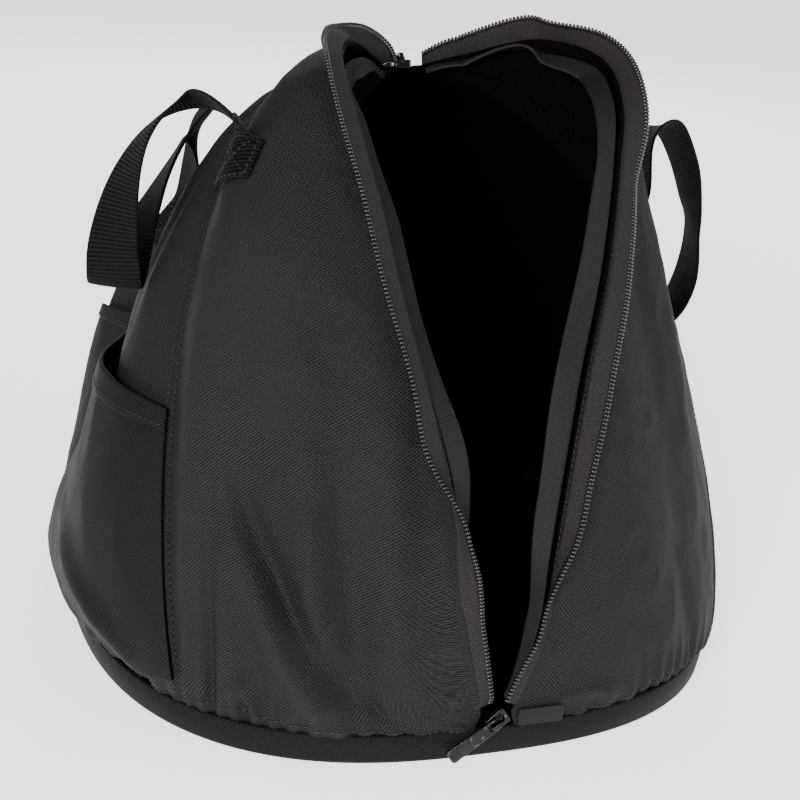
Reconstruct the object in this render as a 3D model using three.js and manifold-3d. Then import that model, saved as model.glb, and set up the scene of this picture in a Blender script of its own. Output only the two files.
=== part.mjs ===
import * as THREE from 'three';
import { mergeVertices } from 'three/addons/utils/BufferGeometryUtils.js';
import Module from 'manifold-3d';

// Soft carry bag, standing on its padded base with the zip open at the front.
// Millimetres, +Z up, the front faces -Y, left and right are the viewer's. The origin is the
// middle of the underside.

// Driving dimensions of the shell
const bagWidth = 352;
const bagDepth = 378;
const bagHeight = 326;
const cornerPower = 2.6;
const bandHeight = 15;
const bandThickness = 3.2;
const floorThickness = 8;
const baseEdgeRadius = 3.5;
const wallThickness = 2;
const seamGap = 0.35;
const panelTopTrim = 0.0015;
const foldEase = 0.15;
const foldFade = 1.4;

// Pocket on the left side
const pocketThickness = 1.8;
const pocketMouthGap = 8.6;
const pocketSeamGap = 0.9;
const pocketHemWidth = 11;
const pocketHemThickness = 2.6;
const pocketHemGap = 0.55;
const pocketSideInset = 0.012;
const pocketFoot = 0.07;

// Zip
const chainHalfWidth = 8;
const zipFootRise = 9.7;
const rimTrim = 0.012;
const ridgeClosing = 0.93;
const closedZipFrom = 0.06;
const closedZipTo = 0.9;
const tapeReach = 9.5;
const tapeThickness = 0.9;
const tapeStandoff = 1.1;
const toothWidth = 3.4;
const toothThickness = 2.8;
const bindingReach = 13;
const bindingThickness = 1.6;
const zipGap = 0.45;
const sliderLength = 12;
const sliderWidth = 9.5;
const sliderThickness = 4.4;
const sliderTaper = 0.72;
const sliderCorner = 1.6;
const frontSliderRise = 6;
const frontPullDip = 34.8;
const pullLength = 30;
const pullWidth = 8;
const pullThickness = 1.5;
const pullTaper = 0.86;
const pullCorner = 1.8;
const bailWire = 1.5;
const bailWidth = 2.2;
const bailSpan = 5.4;
const bailClearance = 0.55;
const slotSideClearance = 0.7;
const slotEndClearance = 1.15;
const tabLength = 24;
const tabWidth = 9;
const tabThickness = 1.6;
const tabLift = 1.3;
const backTabLift = 2.9;
const tabInset = 3.5;
const tabHeight = 6;
const tabShare = 0.93;
const tabCorner = 1.2;

// Carry handles
const webbingWidth = 28;
const webbingThickness = 1.8;
const webbingGap = 1.1;

const halfWidth = bagWidth / 2;
const halfDepth = bagDepth / 2;
const left = -1;
const right = 1;

// Edge of the cloth along the open zip, from its foot at the front to its top slider.
// Shares of the half width, half depth and height; across is positive towards the own side.
const rimRows = {
  left: [
    { across: 0.052, deep: -1.000, high: 0.100 },
    { across: 0.109, deep: -0.974, high: 0.244 },
    { across: 0.140, deep: -0.915, high: 0.404 },
    { across: 0.188, deep: -0.820, high: 0.538 },
    { across: 0.241, deep: -0.709, high: 0.668 },
    { across: 0.269, deep: -0.582, high: 0.782 },
    { across: 0.295, deep: -0.444, high: 0.881 },
    { across: 0.300, deep: -0.286, high: 0.961 },
    { across: 0.281, deep: -0.222, high: 0.977 },
    { across: 0.236, deep: -0.148, high: 0.984 },
    { across: 0.176, deep: -0.074, high: 0.972 },
    { across: 0.100, deep: 0.010, high: 0.947 },
  ],
  right: [
    { across: 0.050, deep: -1.000, high: 0.079 },
    { across: 0.124, deep: -0.974, high: 0.181 },
    { across: 0.165, deep: -0.931, high: 0.299 },
    { across: 0.220, deep: -0.857, high: 0.424 },
    { across: 0.292, deep: -0.762, high: 0.560 },
    { across: 0.392, deep: -0.630, high: 0.691 },
    { across: 0.496, deep: -0.444, high: 0.824 },
    { across: 0.570, deep: -0.280, high: 0.912 },
    { across: 0.575, deep: -0.106, high: 0.966 },
    { across: 0.430, deep: 0.010, high: 0.984 },
    { across: 0.190, deep: 0.070, high: 0.950 },
  ],
};

// Closed zip from its top slider over the ridge and down to its end at the back
const ridgeRows = [
  { deep: 0.080, high: 0.930 },
  { deep: 0.240, high: 0.905 },
  { deep: 0.420, high: 0.860 },
  { deep: 0.600, high: 0.780 },
  { deep: 0.740, high: 0.665 },
  { deep: 0.830, high: 0.530 },
];

// Each row is one line of cloth from the base up to the zip. around: place on the base outline,
// 0 front to 1 back. top: place along the rim or ridge. belly and rise carry the cloth out and
// up from the base, shoulder and drop out and down from the zip: shares of half width and height.
// Neighbouring panels share the row of the seam between them.
const seamRows = {
  left: { around: 0.275, belly: 0.133, rise: 0.189, shoulder: 0.775, drop: -0.050, aside: 0.841 },
  right: { around: 0.275, belly: 0.160, rise: 0.010, shoulder: 0.951, drop: -0.050, aside: 1.141 },
  rear: { around: 0.725, belly: 0.087, rise: 0.313, shoulder: 0.793, drop: 0.225, aside: 0.305 },
};
const rearSeamTop = 0.36;
const panelRows = {
  frontLeft: [
    { around: 0.008, top: 0.000, belly: 0.000, rise: 0.010, shoulder: 0.000, drop: 0.010, aside: 0.000 },
    { around: 0.050, top: 0.160, belly: 0.010, rise: 0.070, shoulder: 0.020, drop: 0.060, aside: 0.000 },
    { around: 0.095, top: 0.300, belly: 0.030, rise: 0.130, shoulder: 0.060, drop: 0.110, aside: 0.000 },
    { around: 0.140, top: 0.440, belly: 0.051, rise: 0.194, shoulder: 0.149, drop: 0.148, aside: 0.085 },
    { around: 0.180, top: 0.580, belly: 0.072, rise: 0.243, shoulder: 0.276, drop: 0.162, aside: 0.232 },
    { around: 0.215, top: 0.700, belly: 0.092, rise: 0.261, shoulder: 0.429, drop: 0.138, aside: 0.409 },
    { around: 0.245, top: 0.820, belly: 0.113, rise: 0.240, shoulder: 0.598, drop: 0.071, aside: 0.595 },
    { ...seamRows.left, top: 1.000 },
  ],
  frontRight: [
    { around: 0.008, top: 0.000, belly: 0.000, rise: 0.010, shoulder: 0.000, drop: 0.010, aside: 0.000 },
    { around: 0.050, top: 0.140, belly: 0.010, rise: 0.070, shoulder: 0.020, drop: 0.050, aside: 0.000 },
    { around: 0.095, top: 0.270, belly: 0.030, rise: 0.130, shoulder: 0.050, drop: 0.100, aside: 0.000 },
    { around: 0.140, top: 0.400, belly: 0.037, rise: 0.177, shoulder: 0.048, drop: 0.120, aside: 0.042 },
    { around: 0.180, top: 0.530, belly: 0.044, rise: 0.190, shoulder: 0.015, drop: 0.116, aside: 0.120 },
    { around: 0.215, top: 0.660, belly: 0.065, rise: 0.162, shoulder: 0.000, drop: 0.092, aside: 0.245 },
    { around: 0.245, top: 0.810, belly: 0.108, rise: 0.111, shoulder: 0.232, drop: 0.035, aside: 0.514 },
    { ...seamRows.right, top: 1.000 },
  ],
  sideLeft: [
    { ...seamRows.left, top: 0.000 },
    { around: 0.330, top: 0.050, belly: 0.184, rise: 0.102, shoulder: 0.949, drop: -0.023, aside: 0.812 },
    { around: 0.400, top: 0.110, belly: 0.220, rise: 0.035, shoulder: 0.898, drop: 0.071, aside: 0.638 },
    { around: 0.500, top: 0.180, belly: 0.219, rise: 0.010, shoulder: 0.611, drop: 0.166, aside: 0.484 },
    { around: 0.600, top: 0.250, belly: 0.149, rise: 0.010, shoulder: 0.336, drop: 0.211, aside: 0.374 },
    { around: 0.670, top: 0.310, belly: 0.111, rise: 0.147, shoulder: 0.524, drop: 0.222, aside: 0.321 },
    { ...seamRows.rear, top: rearSeamTop },
  ],
  sideRight: [
    { ...seamRows.right, top: 0.000 },
    { around: 0.330, top: 0.050, belly: 0.135, rise: 0.048, shoulder: 0.873, drop: 0.034, aside: 0.803 },
    { around: 0.400, top: 0.110, belly: 0.102, rise: 0.092, shoulder: 0.958, drop: 0.080, aside: 0.580 },
    { around: 0.500, top: 0.180, belly: 0.080, rise: 0.127, shoulder: 1.030, drop: 0.107, aside: 0.428 },
    { around: 0.600, top: 0.250, belly: 0.072, rise: 0.167, shoulder: 1.015, drop: 0.134, aside: 0.324 },
    { around: 0.670, top: 0.310, belly: 0.077, rise: 0.230, shoulder: 0.923, drop: 0.174, aside: 0.285 },
    { ...seamRows.rear, top: rearSeamTop },
  ],
  back: [
    { ...seamRows.rear, top: rearSeamTop },
    { around: 0.790, top: 0.520, belly: 0.078, rise: 0.278, shoulder: 0.542, drop: 0.173, aside: 0.163 },
    { around: 0.860, top: 0.720, belly: 0.069, rise: 0.240, shoulder: 0.322, drop: 0.133, aside: 0.057 },
    { around: 0.930, top: 0.880, belly: 0.060, rise: 0.200, shoulder: 0.160, drop: 0.110, aside: 0.000 },
    { around: 1.000, top: 1.000, belly: 0.050, rise: 0.160, shoulder: 0.080, drop: 0.100, aside: 0.000 },
  ],
};

// Soft folds pressed into the cloth. from and to are places on the panel: along its width and
// up its height. depth is millimetres outwards, spread the half width in shares of the panel.
const foldRows = {
  frontLeft: [
    { fromAlong: 0.62, fromUp: 0.62, toAlong: 0.36, toUp: 0.02, depth: 5.0, spread: 0.055 },
    { fromAlong: 0.50, fromUp: 0.58, toAlong: 0.24, toUp: 0.10, depth: -4.5, spread: 0.060 },
    { fromAlong: 0.74, fromUp: 0.55, toAlong: 0.62, toUp: 0.05, depth: -3.0, spread: 0.070 },
  ],
  frontRight: [
    { fromAlong: 0.30, fromUp: 0.45, toAlong: 0.42, toUp: 0.02, depth: -3.0, spread: 0.080 },
  ],
  sideLeft: [
    { fromAlong: 0.10, fromUp: 0.85, toAlong: 0.22, toUp: 0.58, depth: -5.0, spread: 0.060 },
    { fromAlong: 0.25, fromUp: 0.46, toAlong: 0.75, toUp: 0.46, depth: -6.0, spread: 0.160 },
  ],
  sideRight: [],
  back: [],
};

// How the zip lies along each rim, at shares of the rim's length. Turns are the tape's angle from
// the cloth's own plane: 0 reaches into the opening, 90 stands off the cloth, over 90 is rolled
// outwards. reach is the share of the tape's full width there. The binding starts root mm under
// the cloth, is hem of its full width and is turned by leftHem and rightHem, inwards below 0.
const layRows = [
  { at: 0.00, leftTurn: 4, rightTurn: 4, reach: 0.4, root: 4.4, hem: 0.3, leftHem: -60, rightHem: -60 },
  { at: 0.10, leftTurn: 8, rightTurn: 60, reach: 0.55, root: 4.4, hem: 0.6, leftHem: -58, rightHem: -50 },
  { at: 0.22, leftTurn: 75, rightTurn: 125, reach: 0.8, root: 3.5, hem: 0.85, leftHem: -50, rightHem: -40 },
  { at: 0.34, leftTurn: 140, rightTurn: 140, reach: 1, root: 3.5, hem: 1, leftHem: -40, rightHem: -38 },
  { at: 0.58, leftTurn: 155, rightTurn: 140, reach: 1, root: 3.5, hem: 1, leftHem: -40, rightHem: -45 },
  { at: 0.72, leftTurn: 158, rightTurn: 80, reach: 1, root: 4.8, hem: 1, leftHem: -50, rightHem: -70 },
  { at: 0.85, leftTurn: 145, rightTurn: 25, reach: 1, root: 8.5, hem: 0.8, leftHem: -70, rightHem: -52 },
  { at: 0.94, leftTurn: 60, rightTurn: 15, reach: 0.8, root: 6, hem: 0.5, leftHem: -80, rightHem: -62 },
  { at: 1.00, leftTurn: 4, rightTurn: 4, reach: 0.4, root: 4.4, hem: 0.25, leftHem: -90, rightHem: -90 },
];

// Height of the pocket's top edge along the side panel, in shares of the bag's height
const pocketRows = [
  { along: 0.00, high: 0.468 },
  { along: 0.25, high: 0.490 },
  { along: 0.50, high: 0.470 },
  { along: 0.75, high: 0.440 },
  { along: 1.00, high: 0.420 },
];

// Route of each handle between its two sewn ends. Shares of half width, half depth and height;
// yaw is the heading of the webbing's width and dip its fall, in degrees.
const handleRows = {
  left: [
    { across: 0.628, deep: -0.365, high: 0.890, yaw: 84, dip: 10 },
    { across: 0.692, deep: -0.212, high: 0.901, yaw: 74, dip: 20 },
    { across: 0.805, deep: -0.201, high: 0.868, yaw: 84, dip: 16 },
    { across: 0.886, deep: -0.201, high: 0.791, yaw: 106, dip: 8 },
    { across: 0.928, deep: -0.230, high: 0.684, yaw: 142, dip: 0 },
    { across: 0.925, deep: -0.240, high: 0.634, yaw: 156, dip: 0 },
    { across: 0.912, deep: -0.205, high: 0.612, yaw: 158, dip: 0 },
    { across: 0.883, deep: -0.155, high: 0.632, yaw: 150, dip: 0 },
    { across: 0.842, deep: -0.105, high: 0.672, yaw: 122, dip: 6 },
    { across: 0.753, deep: 0.000, high: 0.740, yaw: 90, dip: 14 },
    { across: 0.644, deep: 0.127, high: 0.800, yaw: 80, dip: 18 },
    { across: 0.560, deep: 0.275, high: 0.812, yaw: 78, dip: 14 },
    { across: 0.545, deep: 0.420, high: 0.770, yaw: 84, dip: 8 },
  ],
  right: [
    { across: 0.800, deep: -0.070, high: 0.730, yaw: 84, dip: 4 },
    { across: 0.810, deep: -0.032, high: 0.815, yaw: 76, dip: 16 },
    { across: 0.898, deep: 0.021, high: 0.840, yaw: 84, dip: 18 },
    { across: 1.004, deep: 0.058, high: 0.774, yaw: 94, dip: 16 },
    { across: 1.073, deep: 0.090, high: 0.687, yaw: 84, dip: 10 },
    { across: 1.102, deep: 0.106, high: 0.641, yaw: 74, dip: 4 },
    { across: 1.131, deep: 0.143, high: 0.558, yaw: 86, dip: 10 },
    { across: 1.136, deep: 0.222, high: 0.478, yaw: 88, dip: 16 },
    { across: 1.118, deep: 0.330, high: 0.430, yaw: 88, dip: 18 },
    { across: 1.085, deep: 0.420, high: 0.455, yaw: 90, dip: 18 },
    { across: 1.020, deep: 0.480, high: 0.550, yaw: 92, dip: 12 },
    { across: 0.900, deep: 0.540, high: 0.650, yaw: 92, dip: 10 },
    { across: 0.740, deep: 0.590, high: 0.700, yaw: 92, dip: 8 },
  ],
};
// Where the ends of the handles are sewn down: the panel, the place along it and the reach up it.
const footRows = {
  left: [
    { panel: 'frontLeft', along: 0.870, low: 0.705, high: 0.775 },
    { panel: 'sideLeft', along: 0.910, low: 0.590, high: 0.680 },
  ],
  right: [
    { panel: 'sideRight', along: 0.300, low: 0.560, high: 0.640 },
    { panel: 'sideRight', along: 0.910, low: 0.590, high: 0.680 },
  ],
};

const cloth = new THREE.MeshStandardMaterial({ color: 0x26262a, roughness: 0.9, metalness: 0 });
const pocketCloth = new THREE.MeshStandardMaterial({ color: 0x232327, roughness: 0.9, metalness: 0 });
const baseCloth = new THREE.MeshStandardMaterial({ color: 0x1c1c1f, roughness: 0.92, metalness: 0 });
const tapeCloth = new THREE.MeshStandardMaterial({ color: 0x1d1b1b, roughness: 0.85, metalness: 0 });
const bindingCloth = new THREE.MeshStandardMaterial({ color: 0x252326, roughness: 0.7, metalness: 0 });
const coil = new THREE.MeshStandardMaterial({ color: 0x2c2c2e, roughness: 0.35, metalness: 0 });
const webbing = new THREE.MeshStandardMaterial({ color: 0x141416, roughness: 0.8, metalness: 0 });
const metal = new THREE.MeshStandardMaterial({ color: 0x3a3a3c, roughness: 0.3, metalness: 0.9 });

const power = (value, exponent) => Math.sign(value) * Math.abs(value) ** exponent;
const toRadians = (degrees) => THREE.MathUtils.degToRad(degrees);

// All columns of a table at a share of the way through its rows, on a smooth curve.
function readRows(rows, share) {
  const place = THREE.MathUtils.clamp(share, 0, 1) * (rows.length - 1);
  const first = Math.min(Math.floor(place), rows.length - 2);
  const part = place - first;
  const at = (index, key) => rows[THREE.MathUtils.clamp(index, 0, rows.length - 1)][key];
  const result = {};
  for (const key of Object.keys(rows[0])) {
    const start = at(first, key);
    const end = at(first + 1, key);
    const leave = (end - at(first - 1, key)) / 2;
    const arrive = (at(first + 2, key) - start) / 2;
    const a = 2 * start - 2 * end + leave + arrive;
    const b = -3 * start + 3 * end - 2 * leave - arrive;
    result[key] = ((a * part + b) * part + leave) * part + start;
  }
  return result;
}

// All columns of a table whose first column says where each row lies.
function readPlaced(rows, column, place) {
  let index = 0;
  while (index < rows.length - 2 && rows[index + 1][column] < place) index += 1;
  const span = rows[index + 1][column] - rows[index][column];
  const part = THREE.MathUtils.smoothstep(place, rows[index][column], rows[index][column] + span);
  const result = {};
  for (const key of Object.keys(rows[0])) {
    result[key] = THREE.MathUtils.lerp(rows[index][key], rows[index + 1][key], part);
  }
  return result;
}

// Unit vector square to the base outline, level and pointing out.
function outlineNormal(around, side) {
  const x = side * power(Math.sin(around * Math.PI), 2 / cornerPower);
  const y = -power(Math.cos(around * Math.PI), 2 / cornerPower);
  const across = power(x, cornerPower - 1) / halfWidth;
  const deep = power(y, cornerPower - 1) / halfDepth;
  return new THREE.Vector3(across, deep, 0).normalize();
}

// Point of the base outline, moved in square to it by inset.
function outlinePoint(around, side, inset, height) {
  const x = side * halfWidth * power(Math.sin(around * Math.PI), 2 / cornerPower);
  const y = -halfDepth * power(Math.cos(around * Math.PI), 2 / cornerPower);
  const point = new THREE.Vector3(x, y, height);
  return point.addScaledVector(outlineNormal(around, side), -inset);
}

const placeOf = (row, side) => new THREE.Vector3(
  side * row.across * halfWidth,
  row.deep * halfDepth,
  row.high * bagHeight,
);

const ridgeCurve = new THREE.CatmullRomCurve3(
  ridgeRows.map((row) => placeOf({ across: 0, ...row }, right)),
);

// The cloth's edge along the open zip on one side, foot to top slider.
function makeRim(rows, side) {
  const foot = new THREE.Vector3(side * chainHalfWidth, -halfDepth, bandHeight + zipFootRise);
  const head = ridgeCurve.getPoint(0);
  head.x = side * chainHalfWidth;
  const places = [foot, ...rows.map((row) => placeOf(row, side)), head];
  return new THREE.CatmullRomCurve3(places, false, 'centripetal');
}
const rims = { left: makeRim(rimRows.left, left), right: makeRim(rimRows.right, right) };

function ridgeEdge(share, side) {
  const point = ridgeCurve.getPoint(share);
  const closing = THREE.MathUtils.smoothstep(share, ridgeClosing, 1);
  point.x = side * THREE.MathUtils.lerp(chainHalfWidth, 0, closing);
  return point;
}

// A panel is a table of lines of cloth with the curve that its top edge follows.
const panels = {
  frontLeft: {
    name: 'panel_front_left', side: left, steps: 22, rises: 14,
    after: 'sideLeft', rows: panelRows.frontLeft, folds: foldRows.frontLeft,
    edge: (share) => rims.left.getPointAt(share),
  },
  frontRight: {
    name: 'panel_front_right', side: right, steps: 22, rises: 12,
    after: 'sideRight', rows: panelRows.frontRight, folds: foldRows.frontRight,
    edge: (share) => rims.right.getPointAt(share),
  },
  sideLeft: {
    name: 'panel_side_left', side: left, steps: 12, rises: 14,
    before: 'frontLeft', after: 'backLeft', rows: panelRows.sideLeft, folds: foldRows.sideLeft,
    edge: (share) => ridgeEdge(share, left),
  },
  sideRight: {
    name: 'panel_side_right', side: right, steps: 12, rises: 12,
    before: 'frontRight', after: 'backRight', rows: panelRows.sideRight, folds: foldRows.sideRight,
    edge: (share) => ridgeEdge(share, right),
  },
  backLeft: {
    name: 'panel_back_left', side: left, steps: 8, rises: 12,
    before: 'sideLeft', rows: panelRows.back, folds: foldRows.back,
    edge: (share) => ridgeEdge(share, left),
  },
  backRight: {
    name: 'panel_back_right', side: right, steps: 8, rises: 12,
    before: 'sideRight', rows: panelRows.back, folds: foldRows.back,
    edge: (share) => ridgeEdge(share, right),
  },
};

// Outward push of the folds at a place on a panel.
function foldDepth(folds, along, up) {
  let depth = 0;
  for (const fold of folds) {
    const runAlong = fold.toAlong - fold.fromAlong;
    const runUp = fold.toUp - fold.fromUp;
    const length = runAlong ** 2 + runUp ** 2;
    const ahead = ((along - fold.fromAlong) * runAlong + (up - fold.fromUp) * runUp) / length;
    const held = THREE.MathUtils.clamp(ahead, 0, 1);
    const offAlong = along - fold.fromAlong - held * runAlong;
    const offUp = up - fold.fromUp - held * runUp;
    const away = (offAlong ** 2 + offUp ** 2) / fold.spread ** 2;
    depth += fold.depth * Math.exp(-away) * Math.sin(Math.PI * (foldEase + (1 - 2 * foldEase) * held));
  }
  return depth;
}

// Outer face of a panel. along runs from its front seam to its back seam, up from base to zip.
function barePoint(panel, along, up) {
  const row = readRows(panel.rows, along);
  const out = outlineNormal(row.around, panel.side);
  const foot = outlinePoint(row.around, panel.side, 0, bandHeight + seamGap);
  const head = panel.edge(THREE.MathUtils.clamp(row.top, 0, 1));
  const belly = foot.clone().addScaledVector(out, row.belly * halfWidth);
  belly.z += row.rise * bagHeight;
  const aim = out.lerp(new THREE.Vector3(panel.side, 0, 0), row.aside).normalize();
  const shoulder = head.clone().addScaledVector(aim, row.shoulder * halfWidth);
  shoulder.z -= row.drop * bagHeight;
  return new THREE.CubicBezierCurve3(foot, belly, shoulder, head).getPoint(up);
}

function frameAt(panel, along, up) {
  const step = 0.002;
  const before = barePoint(panel, Math.max(along - step, 0), up);
  const after = barePoint(panel, Math.min(along + step, 1), up);
  const below = barePoint(panel, along, Math.max(up - step, 0));
  const above = barePoint(panel, along, Math.min(up + step, 1));
  const forward = after.sub(before).normalize();
  const climb = above.sub(below);
  const normal = forward.clone().cross(climb).multiplyScalar(panel.side).normalize();
  const edgeward = normal.clone().cross(forward).multiplyScalar(panel.side).normalize();
  return { forward, normal, edgeward, climb: climb.normalize() };
}

// Direction through the cloth. Panels that meet at a seam share it there.
function throughCloth(panel, along, up) {
  const { normal } = frameAt(panel, along, up);
  const other = along === 0 ? panel.before : panel.after;
  if (!other || (along > 0 && along < 1)) return normal;
  const mean = frameAt(panels[other], 1 - along, up).normal.add(normal).normalize();
  return mean.divideScalar(Math.max(mean.dot(normal), 0.5));
}

// Point of a panel at a depth under its outer face, trimmed by half the seam gap at its sides.
function panelPoint(panel, along, up, depth) {
  const point = barePoint(panel, along, up);
  const { normal, climb } = frameAt(panel, along, up);
  const still = Math.min(1, foldFade * Math.sin(Math.PI * along) ** 0.5);
  const through = throughCloth(panel, along, up);
  point.addScaledVector(normal, still * foldDepth(panel.folds, along, up));
  point.addScaledVector(through, -depth);
  if (along > 0 && along < 1) return point;
  const inward = climb.cross(through).normalize().multiplyScalar(panel.side * (along === 0 ? 1 : -1));
  return point.addScaledVector(inward, seamGap / 2);
}

// Closed solid between two grids of points of the same size. front faces out when flip is false.
function gridSolid(front, back, flip) {
  const rows = front.length;
  const columns = front[0].length;
  const positions = [];
  for (const grid of [front, back]) {
    for (const line of grid) {
      for (const point of line) positions.push(point.x, point.y, point.z);
    }
  }
  const index = [];
  const at = (layer, row, column) => (layer * rows + row) * columns + column;
  const quad = (a, b, c, d) => {
    if (flip) index.push(a, c, b, a, d, c);
    else index.push(a, b, c, a, c, d);
  };
  for (let row = 0; row < rows - 1; row += 1) {
    for (let column = 0; column < columns - 1; column += 1) {
      quad(at(0, row, column), at(0, row, column + 1), at(0, row + 1, column + 1), at(0, row + 1, column));
      quad(at(1, row, column), at(1, row + 1, column), at(1, row + 1, column + 1), at(1, row, column + 1));
    }
    const last = columns - 1;
    quad(at(0, row, 0), at(0, row + 1, 0), at(1, row + 1, 0), at(1, row, 0));
    quad(at(0, row, last), at(1, row, last), at(1, row + 1, last), at(0, row + 1, last));
  }
  for (let column = 0; column < columns - 1; column += 1) {
    const last = rows - 1;
    quad(at(0, 0, column), at(1, 0, column), at(1, 0, column + 1), at(0, 0, column + 1));
    quad(at(0, last, column), at(0, last, column + 1), at(1, last, column + 1), at(1, last, column));
  }
  const geometry = new THREE.BufferGeometry();
  geometry.setAttribute('position', new THREE.Float32BufferAttribute(positions, 3));
  geometry.setIndex(index);
  geometry.computeVertexNormals();
  return geometry;
}

function named(name, geometry, material) {
  const mesh = new THREE.Mesh(geometry, material);
  mesh.name = name;
  return mesh;
}

const grid = (rows, columns, make) => Array.from({ length: rows + 1 }, (_, row) => (
  Array.from({ length: columns + 1 }, (__, column) => make(row / rows, column / columns))
));

// One sewn cloth panel of the shell.
function makePanel(panel) {
  const face = (depth) => grid(panel.rises, panel.steps, (up, along) => (
    panelPoint(panel, along, up * (1 - panelTopTrim), depth)
  ));
  return named(panel.name, gridSolid(face(0), face(wallThickness), panel.side === left), cloth);
}

// How far up a panel its cloth comes to a height.
function upAtHeight(panel, along, height) {
  let low = 0;
  let high = 1;
  for (let turn = 0; turn < 24; turn += 1) {
    const middle = (low + high) / 2;
    if (barePoint(panel, along, middle).z < height) low = middle;
    else high = middle;
  }
  return (low + high) / 2;
}

// Outer patch pocket: sewn down at its sides and foot, standing open along its top edge.
function pocketPoint(along, up, lift) {
  const panel = panels.sideLeft;
  const place = THREE.MathUtils.lerp(pocketSideInset, 1 - pocketSideInset, along);
  const top = upAtHeight(panel, place, readRows(pocketRows, along).high * bagHeight);
  const slack = Math.sin(Math.PI * along) ** 0.7 * THREE.MathUtils.smoothstep(up, 0.05, 1);
  const gap = pocketSeamGap + (pocketMouthGap - pocketSeamGap) * slack;
  return panelPoint(panel, place, pocketFoot + up * (top - pocketFoot), -(gap + lift));
}

function makePocket() {
  const columns = 14;
  const tall = readRows(pocketRows, 0.5).high * bagHeight - bandHeight;
  const hemShare = 1 - pocketHemWidth / tall;
  const bodyShare = hemShare - pocketHemGap / tall;
  const body = (lift) => grid(7, columns, (up, along) => pocketPoint(along, up * bodyShare, lift));
  const hem = (lift) => grid(1, columns, (up, along) => (
    pocketPoint(along, THREE.MathUtils.lerp(hemShare, 1, up), lift)
  ));
  return [
    named('side_pocket', gridSolid(body(pocketThickness), body(0), true), pocketCloth),
    named('side_pocket_hem', gridSolid(hem(pocketHemThickness), hem(0), true), pocketCloth),
  ];
}

// Padded tray that the bag stands on: a floor with a low upright band round it.
function makeBase() {
  const segments = 80;
  const section = [
    { inset: baseEdgeRadius, height: 0 },
    { inset: baseEdgeRadius * 0.3, height: baseEdgeRadius * 0.3 },
    { inset: 0, height: baseEdgeRadius },
    { inset: 0, height: bandHeight },
    { inset: bandThickness, height: bandHeight },
    { inset: bandThickness, height: floorThickness + baseEdgeRadius },
    { inset: bandThickness + baseEdgeRadius, height: floorThickness },
  ];
  const positions = [0, 0, 0, 0, 0, floorThickness];
  for (const ring of section) {
    for (let step = 0; step < segments; step += 1) {
      const turn = (2 * step) / segments;
      const side = turn < 1 ? left : right;
      const point = outlinePoint(turn < 1 ? turn : 2 - turn, side, ring.inset, ring.height);
      positions.push(point.x, point.y, point.z);
    }
  }
  const index = [];
  const at = (ring, step) => 2 + ring * segments + (step % segments);
  const last = section.length - 1;
  for (let step = 0; step < segments; step += 1) {
    index.push(0, at(0, step + 1), at(0, step));
    index.push(1, at(last, step), at(last, step + 1));
    for (let ring = 0; ring < last; ring += 1) {
      index.push(at(ring, step), at(ring, step + 1), at(ring + 1, step + 1));
      index.push(at(ring, step), at(ring + 1, step + 1), at(ring + 1, step));
    }
  }
  for (let corner = 0; corner < index.length; corner += 3) {
    [index[corner + 1], index[corner + 2]] = [index[corner + 2], index[corner + 1]];
  }
  const geometry = new THREE.BufferGeometry();
  geometry.setAttribute('position', new THREE.Float32BufferAttribute(positions, 3));
  geometry.setIndex(index);
  geometry.computeVertexNormals();
  return named('padded_base', geometry, baseCloth);
}

// Flat strip along an open rim. It starts at one distance from the cloth's edge and ends at
// another, in a direction that turns about the edge; sink sets its root under the cloth.
function rimStrip(panel, steps, thickness, layAt) {
  const front = [];
  const back = [];
  for (let step = 0; step <= steps; step += 1) {
    const along = THREE.MathUtils.lerp(rimTrim, 1 - rimTrim, step / steps);
    const { normal, edgeward } = frameAt(panel, along, 1);
    const lay = layAt(readRows(panel.rows, along).top);
    const turn = toRadians(lay.turn);
    const lift = Math.max(0, -Math.cos(turn)) * (toothThickness / 2 + seamGap) - lay.sink;
    const root = barePoint(panel, along, 1).addScaledVector(normal, lift);
    const out = edgeward.clone().multiplyScalar(Math.cos(turn)).addScaledVector(normal, Math.sin(turn));
    const face = normal.clone().multiplyScalar(Math.cos(turn)).addScaledVector(edgeward, -Math.sin(turn));
    const corner = (reach, lift) => root.clone().addScaledVector(out, reach).addScaledVector(face, lift);
    front.push([corner(lay.start, thickness / 2), corner(lay.end, thickness / 2)]);
    back.push([corner(lay.start, -thickness / 2), corner(lay.end, -thickness / 2)]);
  }
  return gridSolid(front, back, panel.side === right);
}

function makeRimParts(word, panel) {
  const steps = 48;
  const lay = (share) => readPlaced(layRows, 'at', share);
  const tape = rimStrip(panel, steps, tapeThickness, (share) => {
    const row = lay(share);
    return { turn: row[`${word}Turn`], start: tapeStandoff, end: row.reach * tapeReach, sink: 0 };
  });
  const teeth = rimStrip(panel, steps, toothThickness, (share) => {
    const row = lay(share);
    const start = row.reach * tapeReach + 1.5 * zipGap;
    return { turn: row[`${word}Turn`], start, end: start + toothWidth, sink: 0 };
  });
  const binding = rimStrip(panel, steps, bindingThickness, (share) => {
    const row = lay(share);
    return { turn: row[`${word}Hem`], start: 0, end: row.hem * bindingReach, sink: row.root };
  });
  return [
    named(`zip_tape_${word}`, tape, tapeCloth),
    named(`zip_teeth_${word}`, teeth, coil),
    named(`rim_binding_${word}`, binding, bindingCloth),
  ];
}

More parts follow.
